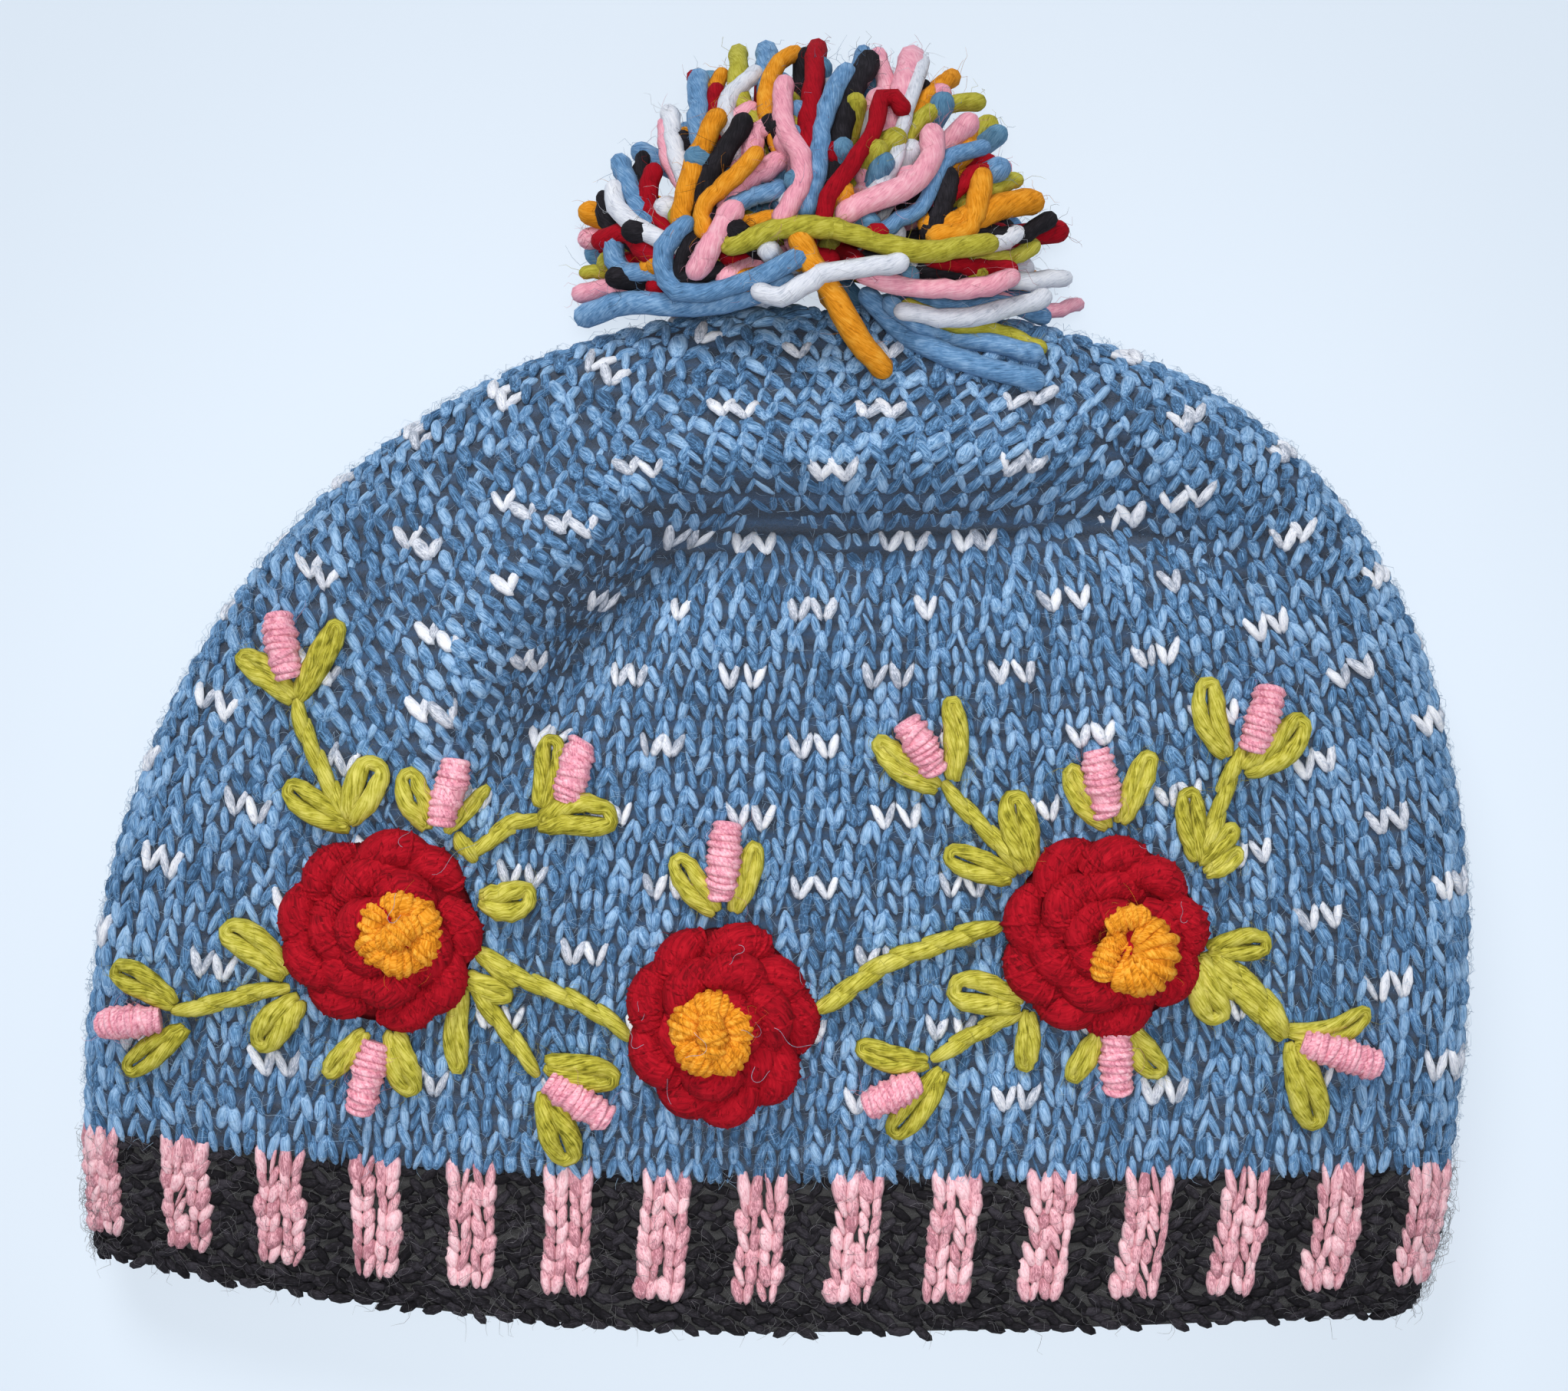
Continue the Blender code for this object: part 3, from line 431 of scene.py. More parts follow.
trees = dict(loop=copiesTree("plumpLoops", "loop"), wrap=copiesTree("yarnWraps", "wrap"),
             strand=strandTree("yarnStrands"))


def eulers(xAxis, yAxis, zAxis):
    # XYZ Euler angles of frames given by their axes
    m = np.stack([xAxis, yAxis, zAxis], axis=-1)
    return np.stack([np.arctan2(m[:, 2, 1], m[:, 2, 2]), -np.arcsin(np.clip(m[:, 2, 0], -1, 1)),
                     np.arctan2(m[:, 1, 0], m[:, 0, 0])], axis=-1)


def plantCopies(name, places, turns, sizes, tones, shape, wool, sides=6, rings=5, yarnShare=0.15):
    mesh = newMesh(name + "Points", places.tolist(), [])
    for label, values, kind in (("turn", turns, "FLOAT_VECTOR"), ("size", sizes, "FLOAT_VECTOR")):
        mesh.attributes.new(label, kind, "POINT").data.foreach_set("vector", np.asarray(values, np.float32).ravel())
    mesh.attributes.new("tone", "FLOAT", "POINT").data.foreach_set("value", np.asarray(tones, np.float32))
    values = {"Sides": sides, "Rings": rings, "Yarn share": yarnShare, "Material": woolMaterial(wool)}
    return grown(link(name + "Points", mesh), trees[shape], values, name)


def sweepStrands(name, strands, wool, sides=8, seed=1, brushed=False):
    # strands is a list of (points, radii)
    curve = bpy.data.curves.new(name + "Lines", "CURVE")
    curve.dimensions = "3D"
    for points, radii in strands:
        spline = curve.splines.new("POLY")
        spline.points.add(len(points) - 1)
        spline.points.foreach_set("co", np.column_stack([points, np.ones(len(points))]).ravel())
        spline.points.foreach_set("radius", np.broadcast_to(radii, len(points)).astype(float))
    values = {"Sides": sides, "Seed": seed, "Material": woolMaterial(wool, brushed)}
    return grown(link(name + "Lines", curve), trees["strand"], values, name)


# Knitting

knit = dict(bodyRows=52, wedges=10, wedgeStitches=12, stitch=4.35 * mm, legWidth=0.395, legDepth=0.45, footDown=0.69,
            topUp=0.62, lean=0.41, gather=0.15, sink=0.85 * mm, tipDip=0.30 * mm, stretch=1.10, wobble=0.22,
            sway=0.50 * mm, stray=2.3, slant=0.62, opening=0.16, fleckStart=4, fleckEvery=4, fleckRepeat=6,
            phase=0.0074, split=0.42, seed=11)
fleckLegs = dict(knit, sink=0.40 * mm, legWidth=0.40, footDown=0.76, topUp=0.66, lean=0.44, gather=0.05, stray=1.2,
                 wobble=0.12)


def stitchLegs(skin, share, turn, step, width, chance, sizes):
    # two legs for every stitch: the feet together and raised, the tops apart and tucked under the next stitch
    legs, count = [], len(share)
    place, around, up, out, high = skin.frames(share, turn, step)
    # over the crown the knitting leans sideways and its stitches lie flatter
    best, side, _ = besideFold(folds[0], place[:, 0], place[:, 1])
    loose = np.clip((best * side + 3 * mm) / (9 * mm), 0, 1) * np.clip((share - 0.12) / 0.45, 0.25, 1)
    crown = loose * np.clip((10 * mm - place[:, 0]) / (50 * mm), -0.8, 1) * sizes["slant"]
    around, up = (around * np.cos(crown)[:, None] - up * np.sin(crown)[:, None],
                  up * np.cos(crown)[:, None] + around * np.sin(crown)[:, None])
    drift = np.sin(share * 61 + turn * 83) + np.sin(share * 37 - turn * 149 + 2)  # the fabric's slow waviness
    place = place + around * (drift * sizes["sway"] * 0.5)[:, None] + chance.normal(0, 0.16 * mm, (count, 1)) * around
    twist = chance.normal(0, 0.05, count)
    for side in (-1, 1):
        jitter = chance.normal(0, 1, (count, 5))
        spread = side * (sizes["lean"] + sizes["opening"] * loose) + twist + 0.035 * sizes["stray"] * jitter[:, 0]
        close = side * (sizes["gather"] - 0.4 * sizes["opening"] * loose) - twist + 0.03 * sizes["stray"] * jitter[:, 4]
        spread, close = spread * width, close * width
        footDown = (sizes["footDown"] - sizes["opening"] * loose) * high
        topUp = (sizes["topUp"] - 0.8 * sizes["opening"] * loose) * high
        foot = place + around * close[:, None] - up * footDown[:, None] - out * (sizes["sink"] - 0.35 * mm)
        top = place + around * spread[:, None] + up * topUp[:, None] - out * (sizes["sink"] + sizes["tipDip"])
        along = unit(top - foot)
        outward = unit(out - along * np.sum(out * along, axis=1, keepdims=True))
        # the leg that the lean hides lies deeper
        under = loose * (0.5 - 0.5 * side * np.sign(crown)) * np.minimum(1, np.abs(crown) * 3)
        middle = (foot + top) / 2 + out * (0.16 * mm * jitter[:, 1:2]) - out * (under * 0.35 * mm)[:, None]
        legWidth = sizes["legWidth"] * width * (1 + sizes["wobble"] * jitter[:, 2]) * (1 + 0.30 * (loose - under))
        legLength = np.linalg.norm(top - foot, axis=1) * sizes["stretch"] * (1 + 0.07 * jitter[:, 3])
        legLength *= 1 + 0.14 * loose - 0.25 * under
        size = np.stack([legWidth, sizes["legDepth"] * width, legLength], axis=-1)
        legs.append((middle, eulers(np.cross(outward, along), outward, along), size))
    return [np.concatenate(parts) for parts in zip(*legs)]


def bodyStitches(skin):
    # every stitch of the body: share, turn, width, row and place in its wedge
    chance = np.random.default_rng(knit["seed"])
    found = []
    fewest = knit["wedgeStitches"]
    for row in range(knit["bodyRows"]):
        share = (row + 0.5) / knit["bodyRows"]
        around = np.interp(share, np.linspace(skin.low, skin.high, skin.rows), skin.lengths)
        fewest = int(min(fewest, max(1, round(around / knit["wedges"] / knit["stitch"]))))
        for wedge in range(knit["wedges"]):
            for k in range(fewest):
                turn = (wedge + (k + 0.5) / fewest) / knit["wedges"] + knit["phase"]
                found.append((share, turn, around / knit["wedges"] / fewest, row, wedge * knit["wedgeStitches"] + k))
    found = np.array(found)
    found[:, 1] += chance.normal(0, 0.00018, len(found))
    return found


def makeBody():
    skin = Skin(0.0, 0.995)
    stitches = bodyStitches(skin)
    share, turn, width, row, column = stitches.T
    repeat, every = knit["fleckRepeat"], knit["fleckEvery"]
    offset = np.where((row // every) % 2 == 0, repeat // 2, 0)
    isFleck = (row % every == 0) & (row >= knit["fleckStart"]) & ((column + offset) % repeat < 2)
    chance = np.random.default_rng(knit["seed"] + 1)
    front = (turn % 1.0) < 0.5
    low = share < knit["split"]  # the front is two pieces, so that neither is too big
    for name, chosen, wool, legs, sides, rings in (
            ("blueStitchesLower", front & ~isFleck & low, "blueWool", knit, 6, 5),
            ("blueStitchesUpper", front & ~isFleck & ~low, "blueWool", knit, 6, 5),
            ("blueStitchesBack", ~front & ~isFleck, "blueWool", knit, 5, 3),
            ("whiteFlecks", isFleck, "whiteWool", fleckLegs, 6, 4)):
        place, turns, sizes = stitchLegs(skin, share[chosen], turn[chosen], 1 / knit["bodyRows"], width[chosen], chance,
                                         legs)
        tones = chance.random(len(place))
        settle(plantCopies(name, place, turns, sizes, tones, "loop", wool, sides, rings), "blue_wool")


def shellMesh(name, outer, inner, material, closed):
    # a wall between two sets of rings, open at the first ring and, where closed, capped at the last
    rings = np.concatenate([outer[::-1, :-1], inner[:, :-1]])
    count, last = rings.shape[1], len(rings) - 1
    points = rings.reshape(-1, 3).tolist()
    if closed:
        faces = ringFaces(len(rings), count, ((0, len(points)), (last, len(points) + 1)))
        points += [rings[0].mean(axis=0).tolist(), rings[last].mean(axis=0).tolist()]
    else:
        faces = ringFaces(len(rings), count)
        faces += [(last * count + i, last * count + (i + 1) % count, (i + 1) % count, i) for i in range(count)]
    mesh = newMesh(name, points, faces, material)
    bm = bmesh.new()
    bm.from_mesh(mesh)
    bmesh.ops.recalc_face_normals(bm, faces=bm.faces)
    bm.to_mesh(mesh)
    bm.free()
    mesh.shade_smooth()
    return link(name, mesh)


ground = dict(rows=50, columns=120, ease=1.15, inset=1.35 * mm, hemRows=9, hemColumns=240, hemInset=1.7 * mm,
              reach=0.985)


def makeGround():
    # the thickness of the knitting behind its stitches
    shares = climb(np.linspace(0, 1, ground["rows"]) * ground["reach"], ground["ease"])
    levels = -np.linspace(0.0, ground["reach"], ground["hemRows"])
    for name, rows, columns, inset, wall, wool, node in (
            ("knitGround", shares, ground["columns"], ground["inset"], hat["wall"], "blue", "knit_body"),
            ("hemGround", levels, ground["hemColumns"], ground["hemInset"], hat["hemWall"], "charcoal", "hem_band")):
        outer, inner = hatGrid(rows, columns, inset)[0], hatGrid(rows, columns, wall)[0]
        # the back's material is painted shade: darker than the wool it stands for
        material = shadedGroundMaterial(wool + "WoolBack", shadedGroundLook[wool])
        settle(shellMesh(name, outer, inner, material, node == "knit_body"), wool + "_wool", node)


hem = dict(ribs=30, stitchesPerRib=4, pinkStitches=2, stripeRows=7, edgeRows=5, stripeShare=0.78, thick=2.0 * mm,
           seed=23)
hemLegs = dict(knit, legWidth=0.52, legDepth=0.52, footDown=0.80, topUp=0.70, sink=0.30 * mm, lean=0.37, gather=0.13,
               sway=0.0, stray=0.8, slant=0.0, opening=0.0)


def makeHem():
    skin = Skin(-1.0, 0.006, 90, 960)
    chance = np.random.default_rng(hem["seed"])
    count = hem["ribs"] * hem["stitchesPerRib"]
    step = hem["stripeShare"] / hem["stripeRows"]
    pink, dark, edge = [], [], []
    for row in range(hem["stripeRows"]):
        for column in range(count):
            chosen = pink if column % hem["stitchesPerRib"] < hem["pinkStitches"] else dark
            chosen.append((-(row + 0.35) * step, (column + 0.5) / count + knit["phase"]))
    for row in range(hem["edgeRows"]):
        level = -hem["stripeShare"] - (row + 0.45) * (1.0 - hem["stripeShare"]) / hem["edgeRows"]
        edge += [(level, (column + 0.5 + 0.5 * (row % 2)) / count + knit["phase"]) for column in range(count)]
    width = float(skin.lengths.mean()) / count
    share, turn = np.array(pink).T
    place, turns, sizes = stitchLegs(skin, share, turn, step, np.full(len(share), width), chance, hemLegs)
    tones = chance.random(len(place))
    settle(plantCopies("hemPinkStitches", place, turns, sizes, tones, "loop", "hemPinkWool", 6, 4), "charcoal_wool")
    # charcoal purl bumps lie across: a slanting pair for every stitch between the stripes, then the edge's own rows
    share, turn = np.array(dark).T
    bumps = [(share + step * 0.25, turn - 0.25 / count, 0.6), (share - step * 0.25, turn + 0.25 / count, -0.6),
             (*np.array(edge).T, 0.35)]
    parts = []
    for share, turn, slant in bumps:
        place, around, up, out, _ = skin.frames(share, turn, step)
        along = unit(around + up * chance.normal(slant, 0.45, len(share))[:, None])
        out = unit(out - along * np.sum(out * along, axis=1, keepdims=True))
        place = place + up * chance.normal(0, 0.35 * mm, (len(share), 1))
        place = place - out * (1.1 * mm) + out * chance.normal(0, 0.25 * mm, (len(share), 1))
        thick, length = np.full(len(share), hem["thick"]), width * chance.normal(1.05, 0.08, len(share))
        parts.append((place, eulers(np.cross(out, along), out, along), np.stack([thick, thick, length], axis=-1)))
    place, turns, sizes = (np.concatenate(x) for x in zip(*parts))
    tones = chance.random(len(place))
    settle(plantCopies("hemCharcoalStitches", place, turns, sizes, tones, "loop", "charcoalWool", 5, 4),
           "charcoal_wool")


# Embroidery

fuzzOn = {wool: [] for wool in woolColours}  # strands that loose fibres grow on


def surfaceTree(node):
    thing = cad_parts[node]
    mesh = thing.data
    points = [thing.matrix_world @ v.co for v in mesh.vertices]
    return BVHTree.FromPolygons(points, [tuple(p.vertices) for p in mesh.polygons])


bodyTree = surfaceTree("knit_body")
frontTrees = [bodyTree] + [surfaceTree(n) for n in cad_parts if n.startswith("rose")]


def seat(x, y):
    # height and outward direction of the hat's front at a place
    hit, normal, _, _ = bodyTree.ray_cast(Vector((x, y, 1.0)), Vector((0, 0, -1)))
    if hit is None:
        return 0.0, np.array([0, 0, 1.0])
    return hit.z, np.array(normal if normal.z > 0 else -normal)


def smoothLine(points, count):
    # an even run of points on a smooth curve through the given ones
    points = np.asarray(points, float)
    if len(points) == 2:
        return points[0] + (points[1] - points[0]) * np.linspace(0, 1, count)[:, None]
    padded = np.vstack([2 * points[0] - points[1], points, 2 * points[-1] - points[-2]])
    dense = []
    for i in range(1, len(padded) - 2):
        p0, p1, p2, p3 = padded[i - 1:i + 3]
        for t in np.linspace(0, 1, 16, endpoint=False):
            dense.append(0.5 * (2 * p1 + (p2 - p0) * t + (2 * p0 - 5 * p1 + 4 * p2 - p3) * t ** 2
                                + (3 * p1 - p0 - 3 * p2 + p3) * t ** 3))
    dense = np.array(dense + [points[-1]])
    walked = walkedAlong(dense)
    return placesAt(dense, walked, np.linspace(0, walked[-1], count))


def laid(plan, lift):
    # lays a flat path on the hat's front, its middle line lift above the surface
    path = []
    for (x, y), up in zip(plan, np.broadcast_to(lift, len(plan))):
        z, normal = seat(x, y)
        path.append(np.array([x, y, z]) + normal * up)
    return np.array(path)


green = dict(closedYarn=0.53, openYarn=0.46, narrowYarn=0.62, narrow=4.2 * mm, fullness=1.06, thickest=3.9 * mm,
             stem=2.9 * mm, rope=3.3 * mm, ropes=("rope_right", "sprig_right_east"), stitch=6.5 * mm, points=26,
             seed=31)
openLeaves = (6.6, 8.2, 7.8, 6.0, 8.0, 6.4, 8.4, 5.6)  # widths of the leaves whose two sides stand apart
sprigs = {  # leaves: base and tip as shares of the hat, and width in mm; stems: points on the way
    "sprig_left_top": dict(
        leaves=((-0.685, 0.549, -0.767, 0.603, 5.8), (-0.677, 0.552, -0.615, 0.640, 5.5),
                (-0.606, 0.407, -0.700, 0.454, 6.6),
                (-0.604, 0.415, -0.562, 0.486, 8.2), (-0.498, 0.407, -0.524, 0.474, 6.6)),
        stems=(((-0.685, 0.547), (-0.655, 0.490), (-0.625, 0.441), (-0.606, 0.407)),)),
    "sprig_left_east": dict(
        leaves=((-0.468, 0.399, -0.408, 0.453, 3.0), (-0.333, 0.429, -0.315, 0.510, 6.4),
                (-0.333, 0.409, -0.221, 0.417, 8.0)),
        stems=(((-0.432, 0.370), (-0.383, 0.403), (-0.330, 0.419)), ((-0.455, 0.392), (-0.425, 0.372)))),
    "leaf_left_east": dict(leaves=((-0.416, 0.324, -0.338, 0.328, 7.8),)),
    "sprig_left_west": dict(
        leaves=((-0.701, 0.239, -0.789, 0.296, 7.6), (-0.680, 0.208, -0.743, 0.151, 7.5),
                (-0.860, 0.203, -0.951, 0.245, 6.6),
                (-0.845, 0.174, -0.934, 0.123, 6.0)),
        stems=(((-0.695, 0.227), (-0.780, 0.209), (-0.866, 0.189)),)),
    "leaf_left_south_a": dict(leaves=((-0.585, 0.172, -0.645, 0.120, 5.0),)),
    "leaf_left_south_b": dict(leaves=((-0.543, 0.172, -0.518, 0.098, 6.8),)),
    "sprig_left_southeast": dict(
        leaves=((-0.446, 0.222, -0.454, 0.123, 4.8), (-0.443, 0.237, -0.373, 0.210, 5.0),
                (-0.425, 0.265, -0.363, 0.226, 4.4),
                (-0.325, 0.138, -0.221, 0.119, 7.0), (-0.328, 0.103, -0.294, 0.019, 8.0)),
        stems=(((-0.423, 0.261), (-0.359, 0.234), (-0.289, 0.210), (-0.235, 0.186), (-0.205, 0.168)),
               ((-0.437, 0.229), (-0.403, 0.194), (-0.369, 0.159), (-0.333, 0.123)))),
    "leaf_middle_left": dict(leaves=((-0.089, 0.311, -0.147, 0.376, 6.4),)),
    "leaf_middle_right": dict(leaves=((-0.063, 0.311, -0.029, 0.391, 5.0),)),
    "rope_right": dict(stems=(((0.058, 0.194), (0.099, 0.222), (0.153, 0.252), (0.212, 0.270), (0.318, 0.300)),)),
    "sprig_right_northwest": dict(
        leaves=((0.224, 0.450, 0.134, 0.507, 5.8), (0.246, 0.460, 0.244, 0.556, 5.0), (0.350, 0.360, 0.330, 0.450, 7.6),
                (0.330, 0.349, 0.232, 0.378, 6.4)),
        stems=(((0.230, 0.452), (0.272, 0.420), (0.316, 0.384), (0.345, 0.360)),)),
    "leaf_right_crown_a": dict(leaves=((0.464, 0.407, 0.407, 0.477, 5.4),)),
    "leaf_right_crown_b": dict(leaves=((0.483, 0.412, 0.528, 0.493, 5.4),)),
    "sprig_right_northeast": dict(
        leaves=((0.631, 0.487, 0.602, 0.577, 6.6), (0.660, 0.471, 0.749, 0.531, 7.6), (0.592, 0.368, 0.579, 0.453, 6.0),
                (0.596, 0.368, 0.651, 0.408, 4.8), (0.606, 0.353, 0.658, 0.381, 4.4)),
        stems=(((0.651, 0.495), (0.634, 0.455), (0.616, 0.408), (0.598, 0.368)),)),
    "sprig_right_east": dict(
        leaves=((0.611, 0.266, 0.702, 0.274, 6.4), (0.596, 0.258, 0.626, 0.179, 7.4), (0.725, 0.174, 0.845, 0.194, 5.6),
                (0.733, 0.158, 0.768, 0.058, 7.6)),
        stems=(((0.610, 0.262), (0.675, 0.222), (0.730, 0.168)), ((0.600, 0.250), (0.665, 0.208), (0.722, 0.166)))),
    "leaf_right_south_a": dict(leaves=((0.454, 0.171, 0.412, 0.115, 5.0),)),
    "leaf_right_south_b": dict(leaves=((0.498, 0.179, 0.547, 0.120, 6.4),)),
    "sprig_right_southwest": dict(
        leaves=((0.340, 0.206, 0.237, 0.226, 8.4), (0.355, 0.195, 0.348, 0.126, 4.8), (0.210, 0.139, 0.108, 0.159, 5.4),
                (0.232, 0.128, 0.158, 0.052, 6.6)),
        stems=(((0.340, 0.198), (0.296, 0.179), (0.252, 0.159), (0.220, 0.136)),)),
}


def leafStrand(baseAcross, baseUp, tipAcross, tipUp, width, chance):
    # a looped stitch: out along one side, round the tip and back
    base, tip = spot(baseAcross, baseUp), spot(tipAcross, tipUp)
    length = np.linalg.norm(tip - base)
    ahead = (tip - base) / length
    aside = np.array([-ahead[1], ahead[0]])
    wide = width * mm * green["fullness"]
    yarn = min(green["thickest"], wide * green["openYarn" if width in openLeaves else "closedYarn"])
    if wide < green["narrow"]:
        yarn = wide * green["narrowYarn"]
    turn = np.linspace(0.0, 2 * math.pi, green["points"])
    along = (1 - np.cos(turn)) / 2
    bow = chance.normal(0, 0.05) * length * np.sin(along * math.pi)
    sideways = (wide - yarn) / 2 * np.sign(np.sin(turn)) * np.abs(np.sin(turn)) ** 0.6 * (0.45 + 0.60 * along) + bow
    plan = base + np.outer(along * (length - yarn * 0.42), ahead) + np.outer(sideways, aside)
    plan += chance.normal(0, 0.07 * mm, plan.shape)
    radii = yarn / 2 * (0.70 + 0.30 * np.sin(math.pi * np.clip(along * 1.1, 0, 1)) ** 0.5)
    radii *= 1 + chance.normal(0, 0.03, len(turn))
    radii[[0, -1]] *= 0.6
    return laid(plan, yarn * (0.28 + 0.20 * np.sin(math.pi * along))), radii


def stemStrands(points, yarn, chance):
    # stem stitch: each stitch starts beside the middle of the one before
    line = smoothLine([spot(*p) for p in points], 80)
    stitches = max(2, round(walkedAlong(line)[-1] / green["stitch"]))
    strands = []
    for i in range(stitches):
        first, last = max(0, (i - 0.3) / stitches), min(1, (i + 1.3) / stitches)
        part = smoothLine(line[int(first * 79):int(last * 79) + 1:4], 14)
        ahead = unit(part[-1] - part[0])
        aside = np.array([-ahead[1], ahead[0]])
        slide = np.linspace(0.27, -0.27, len(part))[:, None] * yarn
        swell = np.sin(np.linspace(0.10, math.pi - 0.10, len(part))) ** 0.6
        radii = yarn / 2 * (0.45 + 0.55 * swell) * (1 + chance.normal(0, 0.03, len(part)))
        strands.append((laid(part + aside * slide, yarn * (0.02 + 0.46 * swell)), radii))
    return strands


def makeSprigs():
    chance = np.random.default_rng(green["seed"])
    for name, parts in sprigs.items():
        yarn = green["rope" if name in green["ropes"] else "stem"]
        strands = [s for stem in parts.get("stems", ()) for s in stemStrands(stem, yarn, chance)]
        strands += [leafStrand(*leaf, chance) for leaf in parts.get("leaves", ())]
        fuzzOn["greenWool"] += strands
        settle(sweepStrands(name + "_yarn", strands, "greenWool", 8, 3), "green_wool", name)


# Wrapped knots: turns of yarn round a core, for the buds, the petals and the yellow centres

def wrapPath(path, radii, spacing, chance):
    # copies of one turn of yarn along a path in space
    walked, near = walkedAlong(path), 0.2 * mm
    count = max(3, round(walked[-1] / spacing))
    wanted = (np.arange(count) + 0.5) / count * walked[-1]
    ahead = unit(placesAt(path, walked, wanted + near) - placesAt(path, walked, wanted - near))
    ahead = unit(ahead + chance.normal(0, 0.10, (count, 3)))
    place = placesAt(path, walked, wanted) + chance.normal(0, 0.10 * mm, (count, 3))
    side = unit(np.cross(ahead, (0.0, 0.0, 1.0)))
    wide = 2 * np.interp(wanted, walked, radii) * (1 + chance.normal(0, 0.04, count))
    sizes = np.stack([wide, wide, np.full(count, wide.mean())], axis=-1)
    return place, eulers(side, np.cross(ahead, side), ahead), sizes


def wrapPieces(node, paths, look, chance, *extra):
    # paths is a list of (points, radii): wraps over a plain core of the same wool
    parts = [wrapPath(path, radii, look["spacing"], chance) for path, radii in paths]
    place, turns, sizes = (np.concatenate(x) for x in zip(*parts))
    tones = 0.42 + 0.16 * chance.random(len(place))
    name, wool, share = node + "_yarn", look["wool"], look["yarnShare"]
    sizes = sizes * (1 - share)
    wraps = plantCopies(name, place, turns, sizes, tones, "wrap", wool, look["sides"], look["rings"], share)
    cores = sweepStrands(name + "Core", [(path, radii * look["core"]) for path, radii in paths], wool, 8, 5)
    fuzzOn[wool] += paths
    bpy.ops.object.select_all(action="DESELECT")
    for piece in (wraps, cores, *extra):
        piece.select_set(True)
    bpy.context.view_layer.objects.active = wraps
    bpy.ops.object.join()
    settle(wraps, look["slot"], node)


buds = {  # base and tip as shares of the hat
    "bud_left_1": ((-0.688, 0.572), (-0.702, 0.644)), "bud_left_2": ((-0.478, 0.407), (-0.458, 0.482)),
    "bud_left_3": ((-0.297, 0.433), (-0.267, 0.496)), "bud_left_4": ((-0.875, 0.187), (-0.956, 0.179)),
    "bud_left_5": ((-0.567, 0.163), (-0.592, 0.087)), "bud_left_6": ((-0.325, 0.120), (-0.241, 0.077)),
    "bud_middle": ((-0.081, 0.326), (-0.071, 0.411)), "bud_right_1": ((0.222, 0.469), (0.180, 0.527)),
    "bud_right_2": ((0.464, 0.420), (0.446, 0.493)), "bud_right_3": ((0.668, 0.493), (0.692, 0.562)),
    "bud_right_4": ((0.199, 0.120), (0.125, 0.091)), "bud_right_5": ((0.478, 0.182), (0.480, 0.108)),
    "bud_right_6": ((0.743, 0.163), (0.851, 0.134)),
}
budLook = dict(wool="budPinkWool", slot="pink_wool", width=5.9 * mm, spacing=1.15 * mm, yarnShare=0.125, sides=5,
               rings=10, core=0.9, seed=41)


def makeBuds():
    chance = np.random.default_rng(budLook["seed"])
    along = np.linspace(0, 1, 14)
    radii = budLook["width"] / 2 * (0.66 + 0.36 * np.sin(math.pi * (0.10 + 0.74 * along)))
    for name, (base, tip) in buds.items():
        path = laid(smoothLine([spot(*base), spot(*tip)], 14), radii * 0.92)
        wrapPieces(name, [(path, radii)], budLook, chance)


roses = dict(  # shift, tilt and lumps are the yellow centre's, and one without lumps is a coil
    left=dict(across=-0.558, up=0.288, wide=18.2 * mm, high=18.0 * mm, shift=(3.3 * mm, -0.3 * mm), tilt=0.5, lumps=6),
    middle=dict(across=-0.078, up=0.185, wide=16.4 * mm, high=18.6 * mm, shift=(-1.8 * mm, -1.9 * mm), tilt=1.57,
                lumps=5),
    right=dict(across=0.460, up=0.284, wide=18.6 * mm, high=18.4 * mm, shift=(4.7 * mm, -3.0 * mm), tilt=0.0, lumps=0))
roseRings = (  # radius, overlap and outward bow are shares; high is above the knitting
    dict(radius=0.745, petals=9, thick=6.9 * mm, high=2.7 * mm, overlap=1.14, bow=0.06),
    dict(radius=0.48, petals=6, thick=7.0 * mm, high=4.7 * mm, overlap=1.20, bow=0.08),
    dict(radius=0.24, petals=4, thick=6.2 * mm, high=6.1 * mm, overlap=1.40, bow=0.06))
roseLook = dict(wool="redWool", slot="red_wool", spacing=0.92 * mm, yarnShare=0.10, sides=4, rings=9, core=1.03,
                bedReach=0.90, bedRise=4.8 * mm, bedLift=0.4 * mm, bedRings=8, bedPoints=40, seed=51)
centreLook = dict(wool="yellowWool", slot="yellow_wool", lift=9.2 * mm, spacing=1.0 * mm, yarnShare=0.16, sides=7,
                  rings=10, core=0.9)
# in mm: a knot's width, its height above the rest, and where it runs from the middle, the big coil first
centreRing = dict(reach=5.0, width=5.9, high=-1.3, top=(5.4, 1.0, ((-3.4, 0.3), (-1.2, -0.3), (1.2, 0.3), (3.4, -0.2))))
centreCoil = (
    (7.8, -1.0, ((1.1, 4.1), (3.4, 2.6), (4.3, -0.2), (3.1, -3.1), (0.4, -4.3), (-2.3, -3.8))),
    (4.4, -0.2, ((-3.9, 4.6), (-1.9, 5.9), (0.5, 6.5), (2.5, 6.0))),
    (3.2, -0.8, ((-3.2, 3.6), (-2.3, 2.4), (-1.8, 1.3))),
    (4.6, -0.5, ((-3.4, 1.9), (-4.3, -0.2), (-5.1, -2.4), (-5.4, -4.4))),
    (4.6, -2.4, ((-2.6, 1.2), (-1.2, 0.2), (0.2, -0.4), (1.4, -0.8))))


